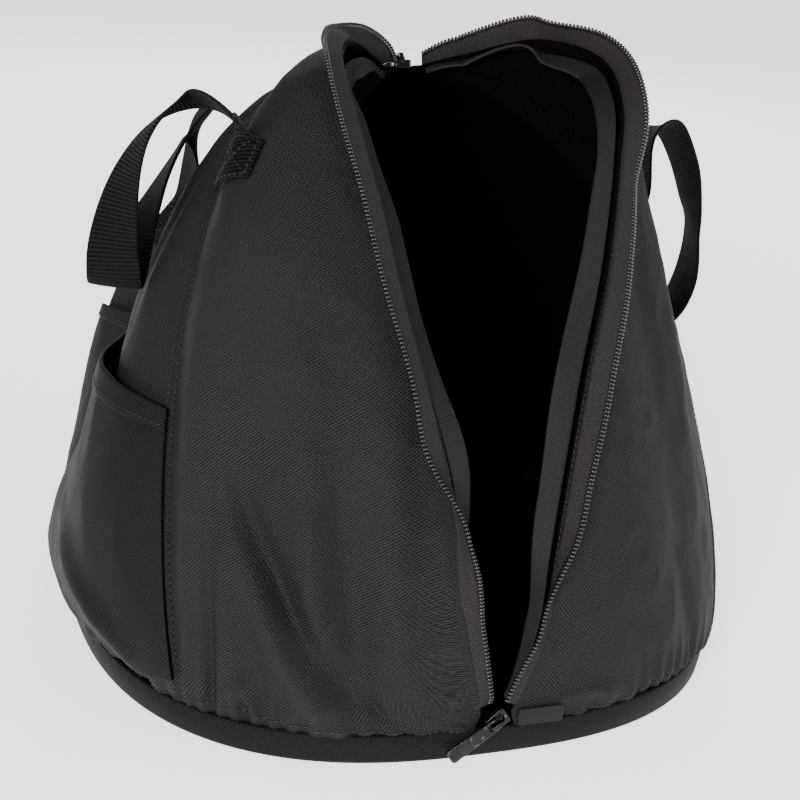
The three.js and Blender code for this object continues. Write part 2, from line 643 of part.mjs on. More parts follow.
// Closed zip over the ridge: one joined tape with the meshed coil on it.
function makeClosedZip() {
  const steps = 18;
  const strip = (halfSpan, low, high) => {
    const front = [];
    const back = [];
    for (let step = 0; step <= steps; step += 1) {
      const share = THREE.MathUtils.lerp(closedZipFrom, closedZipTo, step / steps);
      const point = ridgeCurve.getPoint(share);
      const run = ridgeCurve.getTangent(share);
      const out = new THREE.Vector3(1, 0, 0).cross(run).normalize();
      const at = (x, lift) => point.clone().addScaledVector(out, lift).setX(x);
      front.push([at(-halfSpan, high), at(halfSpan, high)]);
      back.push([at(-halfSpan, low), at(halfSpan, low)]);
    }
    return gridSolid(front, back, false);
  };
  const tapeHalf = chainHalfWidth - 2 * zipGap;
  return [
    named('zip_tape_back', strip(tapeHalf, -tapeThickness, 0), tapeCloth),
    named('zip_teeth_back', strip(toothWidth, zipGap, zipGap + toothThickness / 2), coil),
  ];
}

const wasm = await Module();
wasm.setup();

function toSolid(geometry) {
  const bare = geometry.clone();
  bare.deleteAttribute('normal');
  bare.deleteAttribute('uv');
  const merged = mergeVertices(bare, 1e-5);
  return new wasm.Manifold(new wasm.Mesh({
    numProp: 3,
    vertProperties: Float32Array.from(merged.attributes.position.array),
    triVerts: Uint32Array.from(merged.index.array),
  }));
}

function fromSolid(solid) {
  const mesh = solid.getMesh();
  const geometry = new THREE.BufferGeometry();
  geometry.setAttribute('position', new THREE.Float32BufferAttribute(mesh.vertProperties, 3));
  geometry.setIndex([...mesh.triVerts]);
  geometry.computeVertexNormals();
  return geometry;
}

// Outline of a plate with round corners, lengthways along X, with its middle at the origin.
function roundedPlate(length, wide, narrow, corner) {
  const shape = new THREE.Shape();
  const x = length / 2;
  shape.moveTo(-x + corner, -wide / 2);
  shape.lineTo(x - corner, -narrow / 2);
  shape.quadraticCurveTo(x, -narrow / 2, x, -narrow / 2 + corner);
  shape.lineTo(x, narrow / 2 - corner);
  shape.quadraticCurveTo(x, narrow / 2, x - corner, narrow / 2);
  shape.lineTo(-x + corner, wide / 2);
  shape.quadraticCurveTo(-x, wide / 2, -x, wide / 2 - corner);
  shape.lineTo(-x, -wide / 2 + corner);
  shape.quadraticCurveTo(-x, -wide / 2, -x + corner, -wide / 2);
  return shape;
}

function extrudeFlat(shape, thickness) {
  const settings = { depth: thickness, bevelEnabled: false, curveSegments: 4 };
  const geometry = new THREE.ExtrudeGeometry(shape, settings);
  return geometry.translate(0, 0, -thickness / 2);
}

// Slider in its own frame: X towards the pull's tip, Z away from the cloth. The hinge is at the
// origin, along Y, inside the bail.
const bailInside = pullThickness + 2 * bailClearance;
const hingeLift = sliderThickness / 2 + bailInside / 2;
function sliderGeometry() {
  const shape = roundedPlate(sliderLength, sliderWidth, sliderWidth * sliderTaper, sliderCorner);
  const body = extrudeFlat(shape, sliderThickness);
  body.translate(0, 0, -hingeLift);
  const outside = new THREE.Shape();
  const reach = bailSpan / 2 + bailWire;
  const top = bailInside / 2 + bailWire;
  const foot = -bailInside / 2 - bailWire / 2;
  outside.moveTo(-reach, foot);
  outside.lineTo(reach, foot);
  outside.lineTo(reach, top - bailWire);
  outside.lineTo(reach - bailWire, top);
  outside.lineTo(-reach + bailWire, top);
  outside.lineTo(-reach, top - bailWire);
  outside.closePath();
  const hole = new THREE.Path();
  hole.moveTo(-bailSpan / 2, -bailInside / 2);
  hole.lineTo(-bailSpan / 2, bailInside / 2);
  hole.lineTo(bailSpan / 2, bailInside / 2);
  hole.lineTo(bailSpan / 2, -bailInside / 2);
  hole.closePath();
  outside.holes.push(hole);
  const bail = extrudeFlat(outside, bailWidth);
  bail.rotateX(Math.PI / 2);
  return fromSolid(toSolid(body).add(toSolid(bail)));
}

function pullGeometry() {
  const bar = pullThickness / 2;
  const shape = roundedPlate(pullLength, pullWidth * pullTaper, pullWidth, pullCorner);
  const plate = extrudeFlat(shape, pullThickness).translate(pullLength / 2 - bar, 0, 0);
  const slotHalf = bailWidth / 2 + slotSideClearance;
  const slotEnd = bailSpan / 2 + bailWire + slotEndClearance;
  const slot = new THREE.Shape();
  slot.moveTo(bar, -slotHalf);
  slot.lineTo(slotEnd, -slotHalf);
  slot.lineTo(slotEnd, slotHalf);
  slot.lineTo(bar, slotHalf);
  slot.closePath();
  const cut = extrudeFlat(slot, pullThickness * 3);
  return fromSolid(toSolid(plate).subtract(toSolid(cut)));
}

// Slider and pull set down at a point, with X along the pull and Z away from the cloth.
function makeSlider(word, point, along, out) {
  const z = out.clone().normalize();
  const x = along.clone().addScaledVector(z, -along.dot(z)).normalize();
  const y = z.clone().cross(x);
  const basis = new THREE.Matrix4().makeBasis(x, y, z);
  const slider = named(`zip_slider_${word}`, sliderGeometry(), metal);
  const pull = named(`zip_pull_${word}`, pullGeometry(), metal);
  const holder = new THREE.Group();
  holder.setRotationFromMatrix(basis);
  holder.position.copy(point);
  holder.add(slider, pull);
  return holder;
}

// Stitched cloth tab that covers the end of the zip.
function makeTab(name, point, along, out) {
  const z = out.clone().normalize();
  const x = along.clone().addScaledVector(z, -along.dot(z)).normalize();
  const plate = extrudeFlat(roundedPlate(tabLength, tabWidth, tabWidth, tabCorner), tabThickness);
  const mesh = named(name, plate, bindingCloth);
  mesh.setRotationFromMatrix(new THREE.Matrix4().makeBasis(x, z.clone().cross(x), z));
  mesh.position.copy(point);
  return mesh;
}

// Point over a panel that lies a level or sloping move away from one of its places.
function slide(panel, along, up, move, lift) {
  const step = 0.01;
  const origin = barePoint(panel, along, up);
  const byAlong = barePoint(panel, along + step, up).sub(origin).divideScalar(step);
  const byUp = barePoint(panel, along, up + step).sub(origin).divideScalar(step);
  const a = byAlong.dot(byAlong);
  const b = byAlong.dot(byUp);
  const c = byUp.dot(byUp);
  const alongMove = (c * byAlong.dot(move) - b * byUp.dot(move)) / (a * c - b * b);
  const upMove = (a * byUp.dot(move) - b * byAlong.dot(move)) / (a * c - b * b);
  const there = barePoint(panel, along + alongMove, up + upMove);
  return there.addScaledVector(frameAt(panel, along + alongMove, up + upMove).normal, lift);
}

// Webbing strap: its ends lie on the cloth and follow it, the rest hangs free through the rows.
function makeHandle(word, side) {
  const footTurns = 3;
  const turns = 2;
  const lift = webbingThickness / 2 + webbingGap;
  const sewn = (row) => Array.from({ length: footTurns }, (_, turn) => {
    const panel = panels[row.panel];
    const up = THREE.MathUtils.lerp(row.low, row.high, turn / (footTurns - 1));
    const { normal, forward } = frameAt(panel, row.along, up);
    const point = barePoint(panel, row.along, up).addScaledVector(normal, lift);
    return { point, width: forward, panel, along: row.along, up, held: 1 };
  });
  const free = handleRows[word].map((row) => {
    const yaw = toRadians(row.yaw);
    const dip = toRadians(row.dip);
    const level = new THREE.Vector3(Math.cos(yaw), Math.sin(yaw), 0).multiplyScalar(Math.cos(dip));
    return { point: placeOf(row, side), width: level.setZ(-Math.sin(dip)), held: 0 };
  });
  const places = [...sewn(footRows[word][0]), ...free, ...sewn(footRows[word][1]).reverse()];
  const path = new THREE.CatmullRomCurve3(places.map((place) => place.point), false, 'centripetal');
  const spans = places.length - 1;
  const outer = [];
  const inner = [];
  let previous = null;
  for (let step = 0; step <= turns * spans; step += 1) {
    const share = step / (turns * spans);
    const index = Math.min(Math.floor(step / turns), spans - 1);
    const part = step / turns - index;
    const [before, after] = [places[index], places[index + 1]];
    const turned = after.width.clone().multiplyScalar(before.width.dot(after.width) < 0 ? -1 : 1);
    const run = path.getTangent(share);
    const width = before.width.clone().lerp(turned, part);
    width.addScaledVector(run, -width.dot(run)).normalize();
    if (previous && previous.dot(width) < 0) width.negate();
    previous = width;
    const centre = path.getPoint(share);
    const facing = width.clone().cross(run).normalize();
    const held = before.held && after.held;
    const at = (across, high) => {
      const move = width.clone().multiplyScalar(across * webbingWidth / 2);
      if (held) {
        const up = THREE.MathUtils.lerp(before.up, after.up, part);
        const { normal } = frameAt(before.panel, before.along, up);
        return slide(before.panel, before.along, up, move, lift + high * Math.sign(facing.dot(normal)));
      }
      return centre.clone().add(move).addScaledVector(facing, high);
    };
    const half = webbingThickness / 2;
    outer.push([-1, -0.5, 0, 0.5, 1].map((across) => at(across, half)));
    inner.push([-1, -0.5, 0, 0.5, 1].map((across) => at(across, -half)));
  }
  return named(`handle_${word}`, gridSolid(outer, inner, false), webbing);
}

const bag = new THREE.Group();
bag.add(makeBase());
for (const panel of Object.values(panels)) bag.add(makePanel(panel));
bag.add(...makePocket());
bag.add(...makeRimParts('left', panels.frontLeft));
bag.add(...makeRimParts('right', panels.frontRight));
bag.add(...makeClosedZip());

const front = new THREE.Vector3(0, -1, 0);
bag.add(makeSlider(
  'front',
  new THREE.Vector3(0, -halfDepth - hingeLift - zipGap, bandHeight + frontSliderRise),
  new THREE.Vector3(-Math.cos(toRadians(frontPullDip)), 0, -Math.sin(toRadians(frontPullDip))),
  front,
));
const ridgeStart = ridgeCurve.getPoint(0);
const ridgeRun = ridgeCurve.getTangent(0);
const ridgeOut = new THREE.Vector3(1, 0, 0).cross(ridgeRun).normalize();
ridgeStart.addScaledVector(ridgeOut, hingeLift);
bag.add(makeSlider('top', ridgeStart, ridgeRun, ridgeOut));

// Tabs sewn over the two ends of the zip.
bag.add(makeTab(
  'zip_tab_front',
  new THREE.Vector3(chainHalfWidth + tabInset + tabLength / 2, -halfDepth - tabLift, bandHeight + tabHeight),
  new THREE.Vector3(1, 0, 0),
  front,
));
const ridgeEnd = ridgeCurve.getPoint(tabShare);
const endOut = new THREE.Vector3(1, 0, 0).cross(ridgeCurve.getTangent(tabShare)).normalize();
bag.add(makeTab(
  'zip_tab_back',
  ridgeEnd.clone().addScaledVector(endOut, backTabLift),
  ridgeCurve.getTangent(tabShare),
  endOut,
));
bag.add(makeHandle('left', left), makeHandle('right', right));

export default bag;
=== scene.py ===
import math
import bpy
import bmesh
import numpy as np
from mathutils import Matrix, Vector, noise


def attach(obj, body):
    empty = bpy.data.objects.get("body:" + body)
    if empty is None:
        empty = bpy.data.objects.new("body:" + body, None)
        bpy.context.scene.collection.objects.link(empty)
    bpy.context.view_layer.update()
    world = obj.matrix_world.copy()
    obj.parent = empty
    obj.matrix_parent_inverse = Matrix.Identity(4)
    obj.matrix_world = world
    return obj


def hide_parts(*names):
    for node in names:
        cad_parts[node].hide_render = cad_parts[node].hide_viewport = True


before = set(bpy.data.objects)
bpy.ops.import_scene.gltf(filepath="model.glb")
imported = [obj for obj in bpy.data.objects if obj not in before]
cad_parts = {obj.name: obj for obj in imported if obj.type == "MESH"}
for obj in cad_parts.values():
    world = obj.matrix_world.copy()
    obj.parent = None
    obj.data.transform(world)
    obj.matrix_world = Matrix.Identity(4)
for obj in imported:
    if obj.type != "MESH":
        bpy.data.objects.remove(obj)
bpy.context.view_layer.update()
mm = 0.001
left, right = -1, 1

# The shell's sizes in metres. Tables hold shares of the half width, half depth and height.
shell = {
    "width": 0.352, "depth": 0.378, "height": 0.326,
    "cornerPower": 2.6,
    "bandHeight": 15 * mm, "seamGap": 0.35 * mm,
    "wall": 2.0 * mm, "topTrim": 0.0015,
    "chainHalf": 8 * mm, "zipFootRise": 9.7 * mm,
    "ridgeClosing": 0.93,
    # across, deep, high
    "rimLeft": [
        (0.052, -1.000, 0.100),
        (0.109, -0.974, 0.244),
        (0.140, -0.915, 0.404),
        (0.188, -0.820, 0.538),
        (0.241, -0.709, 0.668),
        (0.269, -0.582, 0.782),
        (0.295, -0.444, 0.881),
        (0.300, -0.286, 0.961),
        (0.281, -0.222, 0.977),
        (0.236, -0.148, 0.984),
        (0.176, -0.074, 0.972),
        (0.100, 0.010, 0.947),
    ],
    "rimRight": [
        (0.050, -1.000, 0.079),
        (0.124, -0.974, 0.181),
        (0.165, -0.931, 0.299),
        (0.220, -0.857, 0.424),
        (0.292, -0.762, 0.560),
        (0.392, -0.630, 0.691),
        (0.496, -0.444, 0.824),
        (0.570, -0.280, 0.912),
        (0.575, -0.106, 0.966),
        (0.430, 0.010, 0.984),
        (0.190, 0.070, 0.950),
    ],
    "ridge": [
        (0, 0.080, 0.930),
        (0, 0.240, 0.905),
        (0, 0.420, 0.860),
        (0, 0.600, 0.780),
        (0, 0.740, 0.665),
        (0, 0.830, 0.530),
    ],
}
halfWidth = shell["width"] / 2
halfDepth = shell["depth"] / 2
tall = shell["height"]

# Each row is one line of cloth from the base to the zip:
# around, top, belly, rise, shoulder, drop, aside
clothLines = {
    "frontLeft": [
        (0.008, 0.000, 0.000, 0.010, 0.000, 0.010, 0.000),
        (0.050, 0.160, 0.010, 0.070, 0.020, 0.060, 0.000),
        (0.095, 0.300, 0.030, 0.130, 0.060, 0.110, 0.000),
        (0.140, 0.440, 0.051, 0.194, 0.149, 0.148, 0.085),
        (0.180, 0.580, 0.072, 0.243, 0.276, 0.162, 0.232),
        (0.215, 0.700, 0.092, 0.261, 0.429, 0.138, 0.409),
        (0.245, 0.820, 0.113, 0.240, 0.598, 0.071, 0.595),
        (0.275, 1.000, 0.133, 0.189, 0.775, -0.050, 0.841),
    ],
    "frontRight": [
        (0.008, 0.000, 0.000, 0.010, 0.000, 0.010, 0.000),
        (0.050, 0.140, 0.010, 0.070, 0.020, 0.050, 0.000),
        (0.095, 0.270, 0.030, 0.130, 0.050, 0.100, 0.000),
        (0.140, 0.400, 0.037, 0.177, 0.048, 0.120, 0.042),
        (0.180, 0.530, 0.044, 0.190, 0.015, 0.116, 0.120),
        (0.215, 0.660, 0.065, 0.162, 0.000, 0.092, 0.245),
        (0.245, 0.810, 0.108, 0.111, 0.232, 0.035, 0.514),
        (0.275, 1.000, 0.160, 0.010, 0.951, -0.050, 1.141),
    ],
    "sideLeft": [
        (0.275, 0.000, 0.133, 0.189, 0.775, -0.050, 0.841),
        (0.330, 0.050, 0.184, 0.102, 0.949, -0.023, 0.812),
        (0.400, 0.110, 0.220, 0.035, 0.898, 0.071, 0.638),
        (0.500, 0.180, 0.219, 0.010, 0.611, 0.166, 0.484),
        (0.600, 0.250, 0.149, 0.010, 0.336, 0.211, 0.374),
        (0.670, 0.310, 0.111, 0.147, 0.524, 0.222, 0.321),
        (0.725, 0.36, 0.087, 0.313, 0.793, 0.225, 0.305),
    ],
    "sideRight": [
        (0.275, 0.000, 0.160, 0.010, 0.951, -0.050, 1.141),
        (0.330, 0.050, 0.135, 0.048, 0.873, 0.034, 0.803),
        (0.400, 0.110, 0.102, 0.092, 0.958, 0.080, 0.580),
        (0.500, 0.180, 0.080, 0.127, 1.030, 0.107, 0.428),
        (0.600, 0.250, 0.072, 0.167, 1.015, 0.134, 0.324),
        (0.670, 0.310, 0.077, 0.230, 0.923, 0.174, 0.285),
        (0.725, 0.36, 0.087, 0.313, 0.793, 0.225, 0.305),
    ],
    "back": [
        (0.725, 0.36, 0.087, 0.313, 0.793, 0.225, 0.305),
        (0.790, 0.520, 0.078, 0.278, 0.542, 0.173, 0.163),
        (0.860, 0.720, 0.069, 0.240, 0.322, 0.133, 0.057),
        (0.930, 0.880, 0.060, 0.200, 0.160, 0.110, 0.000),
        (1.000, 1.000, 0.050, 0.160, 0.080, 0.100, 0.000),
    ],
}

# How finely the curves are worked out
curves = {"ridgeSteps": 600, "rimSteps": 900, "frameStep": 0.002, "least": 1e-6, "halvings": 22}


def readRows(rows, share):
    rows = np.asarray(rows, float)
    last = len(rows) - 1
    place = np.clip(share, 0, 1) * last
    first = np.minimum(place.astype(int), last - 1)
    part = (place - first)[:, None]

    def at(index):
        return rows[np.clip(index, 0, last)]

    start, end = at(first), at(first + 1)
    leave = (end - at(first - 1)) / 2
    arrive = (at(first + 2) - start) / 2
    a = 2 * start - 2 * end + leave + arrive
    b = -3 * start + 3 * end - 2 * leave - arrive
    return ((a * part + b) * part + leave) * part + start


def smoothCurve(points, count):
    points = np.asarray(points, float)
    last = len(points) - 1
    result = []
    for share in np.linspace(0, 1, count):
        place = share * last
        first = min(int(place), last - 1)
        part = place - first
        p1, p2 = points[first], points[first + 1]
        p0 = points[first - 1] if first > 0 else 2 * p1 - p2
        p3 = points[first + 2] if first + 2 <= last else 2 * p2 - p1
        spans = ((p0, p1), (p1, p2), (p2, p3))
        d0, d1, d2 = [max(np.linalg.norm(b - a), curves["least"]) ** 0.5 for a, b in spans]
        t1 = ((p1 - p0) / d0 - (p2 - p0) / (d0 + d1) + (p2 - p1) / d1) * d1
        t2 = ((p2 - p1) / d1 - (p3 - p1) / (d1 + d2) + (p3 - p2) / d2) * d1
        result.append(p1 + t1 * part + (3 * p2 - 3 * p1 - 2 * t1 - t2) * part ** 2
                      + (2 * p1 - 2 * p2 + t1 + t2) * part ** 3)
    return np.array(result)


def lengthShares(points):
    steps = np.r_[0, np.cumsum(np.linalg.norm(np.diff(points, axis=0), axis=1))]
    return steps / steps[-1]


def alongCurve(points, shares, share):
    return np.stack([np.interp(share, shares, points[:, axis]) for axis in range(3)], -1)


def unit(vectors):
    return vectors / (np.linalg.norm(vectors, axis=-1, keepdims=True) + 1e-12)


def smoothStep(value, low, high):
    part = np.clip((value - low) / (high - low), 0, 1)
    return part * part * (3 - 2 * part)


def signedPower(value, exponent):
    return np.sign(value) * np.abs(value) ** exponent


def placed(rows, side):
    return [np.array([side * across * halfWidth, deep * halfDepth, high * tall])
            for across, deep, high in rows]


ridgeCurve = smoothCurve(placed(shell["ridge"], right), curves["ridgeSteps"])
ridgeShares = np.linspace(0, 1, len(ridgeCurve))


def rimCurve(rows, side):
    foot = np.array([side * shell["chainHalf"], -halfDepth, shell["bandHeight"] + shell["zipFootRise"]])
    head = ridgeCurve[0].copy()
    head[0] = side * shell["chainHalf"]
    curve = smoothCurve([foot, *placed(rows, side), head], curves["rimSteps"])
    return curve, lengthShares(curve)


rims = {left: rimCurve(shell["rimLeft"], left), right: rimCurve(shell["rimRight"], right)}

# wide and high are each panel's rough size in metres, columns and rows the fineness of its mesh
panels = {
    "frontLeft": {"side": left, "edge": "rim", "lines": "frontLeft", "after": "sideLeft",
                  "node": "panel_front_left", "columns": 230, "rows": 170, "wide": 0.27, "high": 0.25},
    "frontRight": {"side": right, "edge": "rim", "lines": "frontRight", "after": "sideRight",
                   "node": "panel_front_right", "columns": 230, "rows": 160, "wide": 0.27, "high": 0.25},
    "sideLeft": {"side": left, "edge": "ridge", "lines": "sideLeft", "before": "frontLeft",
                 "after": "backLeft", "node": "panel_side_left", "columns": 170, "rows": 190,
                 "wide": 0.24, "high": 0.36},
    "sideRight": {"side": right, "edge": "ridge", "lines": "sideRight", "before": "frontRight",
                  "after": "backRight", "node": "panel_side_right", "columns": 150, "rows": 170,
                  "wide": 0.24, "high": 0.36},
    "backLeft": {"side": left, "edge": "ridge", "lines": "back", "before": "sideLeft",
                 "node": "panel_back_left", "columns": 110, "rows": 150, "wide": 0.17, "high": 0.28},
    "backRight": {"side": right, "edge": "ridge", "lines": "back", "before": "sideRight",
                  "node": "panel_back_right", "columns": 110, "rows": 150, "wide": 0.17, "high": 0.28},
}


def outlineAt(around, side, inset=0.0):
    x = side * signedPower(np.sin(around * np.pi), 2 / shell["cornerPower"])
    y = -signedPower(np.cos(around * np.pi), 2 / shell["cornerPower"])
    power = shell["cornerPower"] - 1
    out = unit(np.stack([signedPower(x, power) / halfWidth, signedPower(y, power) / halfDepth, 0 * x], -1))
    point = np.stack([x * halfWidth, y * halfDepth, np.zeros_like(x)], -1)
    return point - out * inset, out


def topEdge(panel, share):
    share = np.clip(share, 0, 1)
    if panel["edge"] == "rim":
        return alongCurve(*rims[panel["side"]], share)
    point = alongCurve(ridgeCurve, ridgeShares, share)
    point[:, 0] = panel["side"] * shell["chainHalf"] * (1 - smoothStep(share, shell["ridgeClosing"], 1))
    return point


def barePoint(panel, along, up):
    rows = readRows(clothLines[panel["lines"]], along)
    around, top, belly, rise, shoulder, drop, aside = [rows[:, i:i + 1] for i in range(7)]
    foot, out = outlineAt(rows[:, 0], panel["side"])
    foot[:, 2] = shell["bandHeight"] + shell["seamGap"]
    head = topEdge(panel, rows[:, 1])
    bellyPoint = foot + out * belly * halfWidth
    bellyPoint[:, 2:] += rise * tall
    aim = unit(out * (1 - aside) + np.array([panel["side"], 0, 0]) * aside)
    shoulderPoint = head + aim * shoulder * halfWidth
    shoulderPoint[:, 2:] -= drop * tall
    u = up[:, None]
    return (foot * (1 - u) ** 3 + 3 * bellyPoint * u * (1 - u) ** 2
            + 3 * shoulderPoint * u * u * (1 - u) + head * u ** 3)


def clothFrame(panel, along, up):
    step = curves["frameStep"]
    forward = unit(barePoint(panel, np.minimum(along + step, 1), up)
                   - barePoint(panel, np.maximum(along - step, 0), up))
    climb = unit(barePoint(panel, along, np.minimum(up + step, 1))
                 - barePoint(panel, along, np.maximum(up - step, 0)))
    normal = unit(np.cross(forward, climb)) * panel["side"]
    edgeward = unit(np.cross(normal, forward)) * panel["side"]
    return forward, normal, edgeward


# Folds: from along and up, to along and up, millimetres out, spread as a share of the panel
folds = {
    "frontLeft": [
        (0.62, 0.62, 0.36, 0.02, 5.0, 0.055),
        (0.50, 0.58, 0.24, 0.10, -4.5, 0.060),
        (0.74, 0.55, 0.62, 0.05, -3.0, 0.070),
        (0.71, 0.31, 0.42, 0.10, 8.0, 0.042),
        (0.71, 0.38, 0.30, 0.13, -6.5, 0.040),
        (0.87, 0.50, 0.93, 0.03, 3.0, 0.030),
        (0.80, 0.34, 0.82, 0.03, -3.5, 0.032),
        (0.42, 0.75, 0.21, 0.30, 3.0, 0.060),
        (0.77, 0.04, 0.68, 0.09, 2.6, 0.020),
        (0.68, 0.09, 0.60, 0.02, 2.6, 0.020),
        (0.71, 0.03, 0.65, 0.03, -2.4, 0.020),
        (0.27, 0.17, 0.22, 0.09, -2.2, 0.020),
    ],
    "frontRight": [
        (0.30, 0.45, 0.42, 0.02, -3.0, 0.080),
        (0.12, 0.20, 0.34, 0.03, 2.2, 0.035),
        (0.62, 0.30, 0.74, 0.05, -2.0, 0.045),
    ],
    "sideLeft": [
        (0.10, 0.85, 0.22, 0.58, -5.0, 0.060),
        (0.25, 0.46, 0.75, 0.46, -6.0, 0.160),
        (0.42, 0.31, 0.17, 0.11, 4.0, 0.030),
        (0.46, 0.13, 0.18, 0.03, -6.5, 0.060),
        (0.30, 0.12, 0.26, 0.03, 2.0, 0.022),
        (0.38, 0.14, 0.36, 0.04, 2.0, 0.022),
        (0.16, 0.92, 0.30, 0.70, 2.0, 0.035),
    ],
    "sideRight": [
        (0.16, 0.34, 0.30, 0.06, -3.0, 0.040),
        (0.60, 0.50, 0.72, 0.12, 2.6, 0.050),
    ],
    "back": [
        (0.45, 0.40, 0.60, 0.05, -2.6, 0.060),
    ],
}
# Fine relief of the cloth: slack, creases, puckers over the base seam and the dip of each seam.
# The calm lengths say how far from a seam, the rim or the base the cloth lies still.
relief = {
    "slack": 1.5 * mm, "slackSize": 62 * mm,
    "crease": 0.55 * mm, "creaseSize": 19 * mm,
    "pucker": 0.9 * mm, "puckerPitch": 21 * mm, "puckerHeight": 9 * mm, "puckerReach": 16 * mm,
    "puckerDrift": 3, "driftSize": 45 * mm, "puckerCalm": 8 * mm,
    "seamDip": 1.1 * mm, "seamReach": 4.5 * mm, "seamBlend": 9 * mm, "leastBlend": 0.002,
    "sideCalm": 14 * mm, "rimCalm": 10 * mm, "baseCalm": 9 * mm,
    "foldStart": 0.15, "foldRun": 0.7, "foldEase": 1.4, "upwardStretch": 0.8,
    "seed": 7.3, "creaseSeed": 11.3, "driftSeed": 16.3,
}


def nearness(distance, reach):
    return np.exp(-(distance / reach) ** 2)


def foldDepth(panel, along, up):
    depth = np.zeros_like(along)
    for fromAlong, fromUp, toAlong, toUp, height, spread in folds[panel["lines"]]:
        runAlong, runUp = toAlong - fromAlong, toUp - fromUp
        ahead = ((along - fromAlong) * runAlong + (up - fromUp) * runUp) / (runAlong ** 2 + runUp ** 2)
        held = np.clip(ahead, 0, 1)
        away = np.hypot(along - fromAlong - held * runAlong, up - fromUp - held * runUp)
        swell = np.sin(np.pi * (relief["foldStart"] + relief["foldRun"] * held))
        depth += height * mm * nearness(away, spread) * swell
    return depth * np.minimum(1, relief["foldEase"] * np.sin(np.pi * np.clip(along, 0, 1)) ** 0.5)


def cloudy(points, size, seed):
    places = (points / size * (1, 1, relief["upwardStretch"]) + (seed, 0, 0)).tolist()
    return np.array([noise.noise(place) for place in places])


def creased(points, size, seed):
    return 1 - 2 * np.abs(cloudy(points, size, seed))


def reliefAt(panel, along, up, points):
    side = np.minimum(along, 1 - along) * panel["wide"]
    base, head = up * panel["high"], (1 - up) * panel["high"]
    calm = 1 - nearness(side, relief["sideCalm"])
    calm *= 1 - nearness(head, relief["rimCalm"])
    calm *= 1 - nearness(base, relief["baseCalm"])
    depth = foldDepth(panel, along, up)
    depth += calm * relief["slack"] * cloudy(points, relief["slackSize"], relief["seed"])
    depth += calm * relief["crease"] * creased(points, relief["creaseSize"], relief["creaseSeed"])
    drift = relief["puckerDrift"] * cloudy(points, relief["driftSize"], relief["driftSeed"])
    wave = np.sin(2 * np.pi * along * panel["wide"] / relief["puckerPitch"] + drift)
    low = nearness(base - relief["puckerHeight"], relief["puckerReach"])
    depth += relief["pucker"] * wave * low * (1 - nearness(side, relief["puckerCalm"]))
    seam = side if "before" in panel else (1 - along) * panel["wide"]
    dip = np.maximum(nearness(seam, relief["seamReach"]), nearness(base, relief["seamReach"]))
    return depth - dip * relief["seamDip"]


# A point on the dressed cloth. Near a seam the two panels share one normal, so the seam stays shut.
def clothPoint(panel, along, up, lift=0.0, still=False):
    points = barePoint(panel, along, up)
    normal = clothFrame(panel, along, up)[1]
    for key, place, distance in (("before", 1.0, along), ("after", 0.0, 1 - along)):
        if key not in panel:
            continue
        share = nearness(distance * panel["wide"], relief["seamBlend"])[:, None] / 2
        close = share[:, 0] > relief["leastBlend"]
        if close.any():
            other = clothFrame(panels[panel[key]], np.full(close.sum(), place), up[close])[1]
            normal[close] = unit(normal[close] * (1 - share[close]) + share[close] * other)
    depth = 0 if still else reliefAt(panel, along, up, points)[:, None]
    return points + normal * (depth + lift)


def toLinear(hexColour):
    parts = [int(hexColour[i:i + 2], 16) / 255 for i in (1, 3, 5)]
    return [p / 12.92 if p <= 0.04045 else ((p + 0.055) / 1.055) ** 2.4 for p in parts] + [1.0]


def addNode(tree, kind, settings, links=None):
    node = tree.nodes.new(kind)
    for key, value in settings.items():
        if isinstance(key, int) or key in node.inputs:
            node.inputs[key].default_value = value
        else:
            setattr(node, key, value)
    for key, source in (links or {}).items():
        tree.links.new(source, node.inputs[key])
    return node


def newMaterial(name, roughness, specular, colour=None):
    material = bpy.data.materials.new(name)
    material.use_nodes = True
    shader = material.node_tree.nodes["Principled BSDF"]
    shader.inputs["Roughness"].default_value = roughness
    shader.inputs["Specular IOR Level"].default_value = specular
    if colour:
        shader.inputs["Base Color"].default_value = toLinear(colour)
    return material, material.node_tree, shader


def finishSurface(tree, shader, tint, raised, look):
    bump = addNode(tree, "ShaderNodeBump", {"Strength": look["bump"], "Distance": look["height"]},
                   {"Height": raised.outputs[0]})
    tree.links.new(tint.outputs[2], shader.inputs["Base Color"])
    tree.links.new(bump.outputs[0], shader.inputs["Normal"])


# A wave texture of this scale has bands one metre apart
waveScale = math.pi / 10


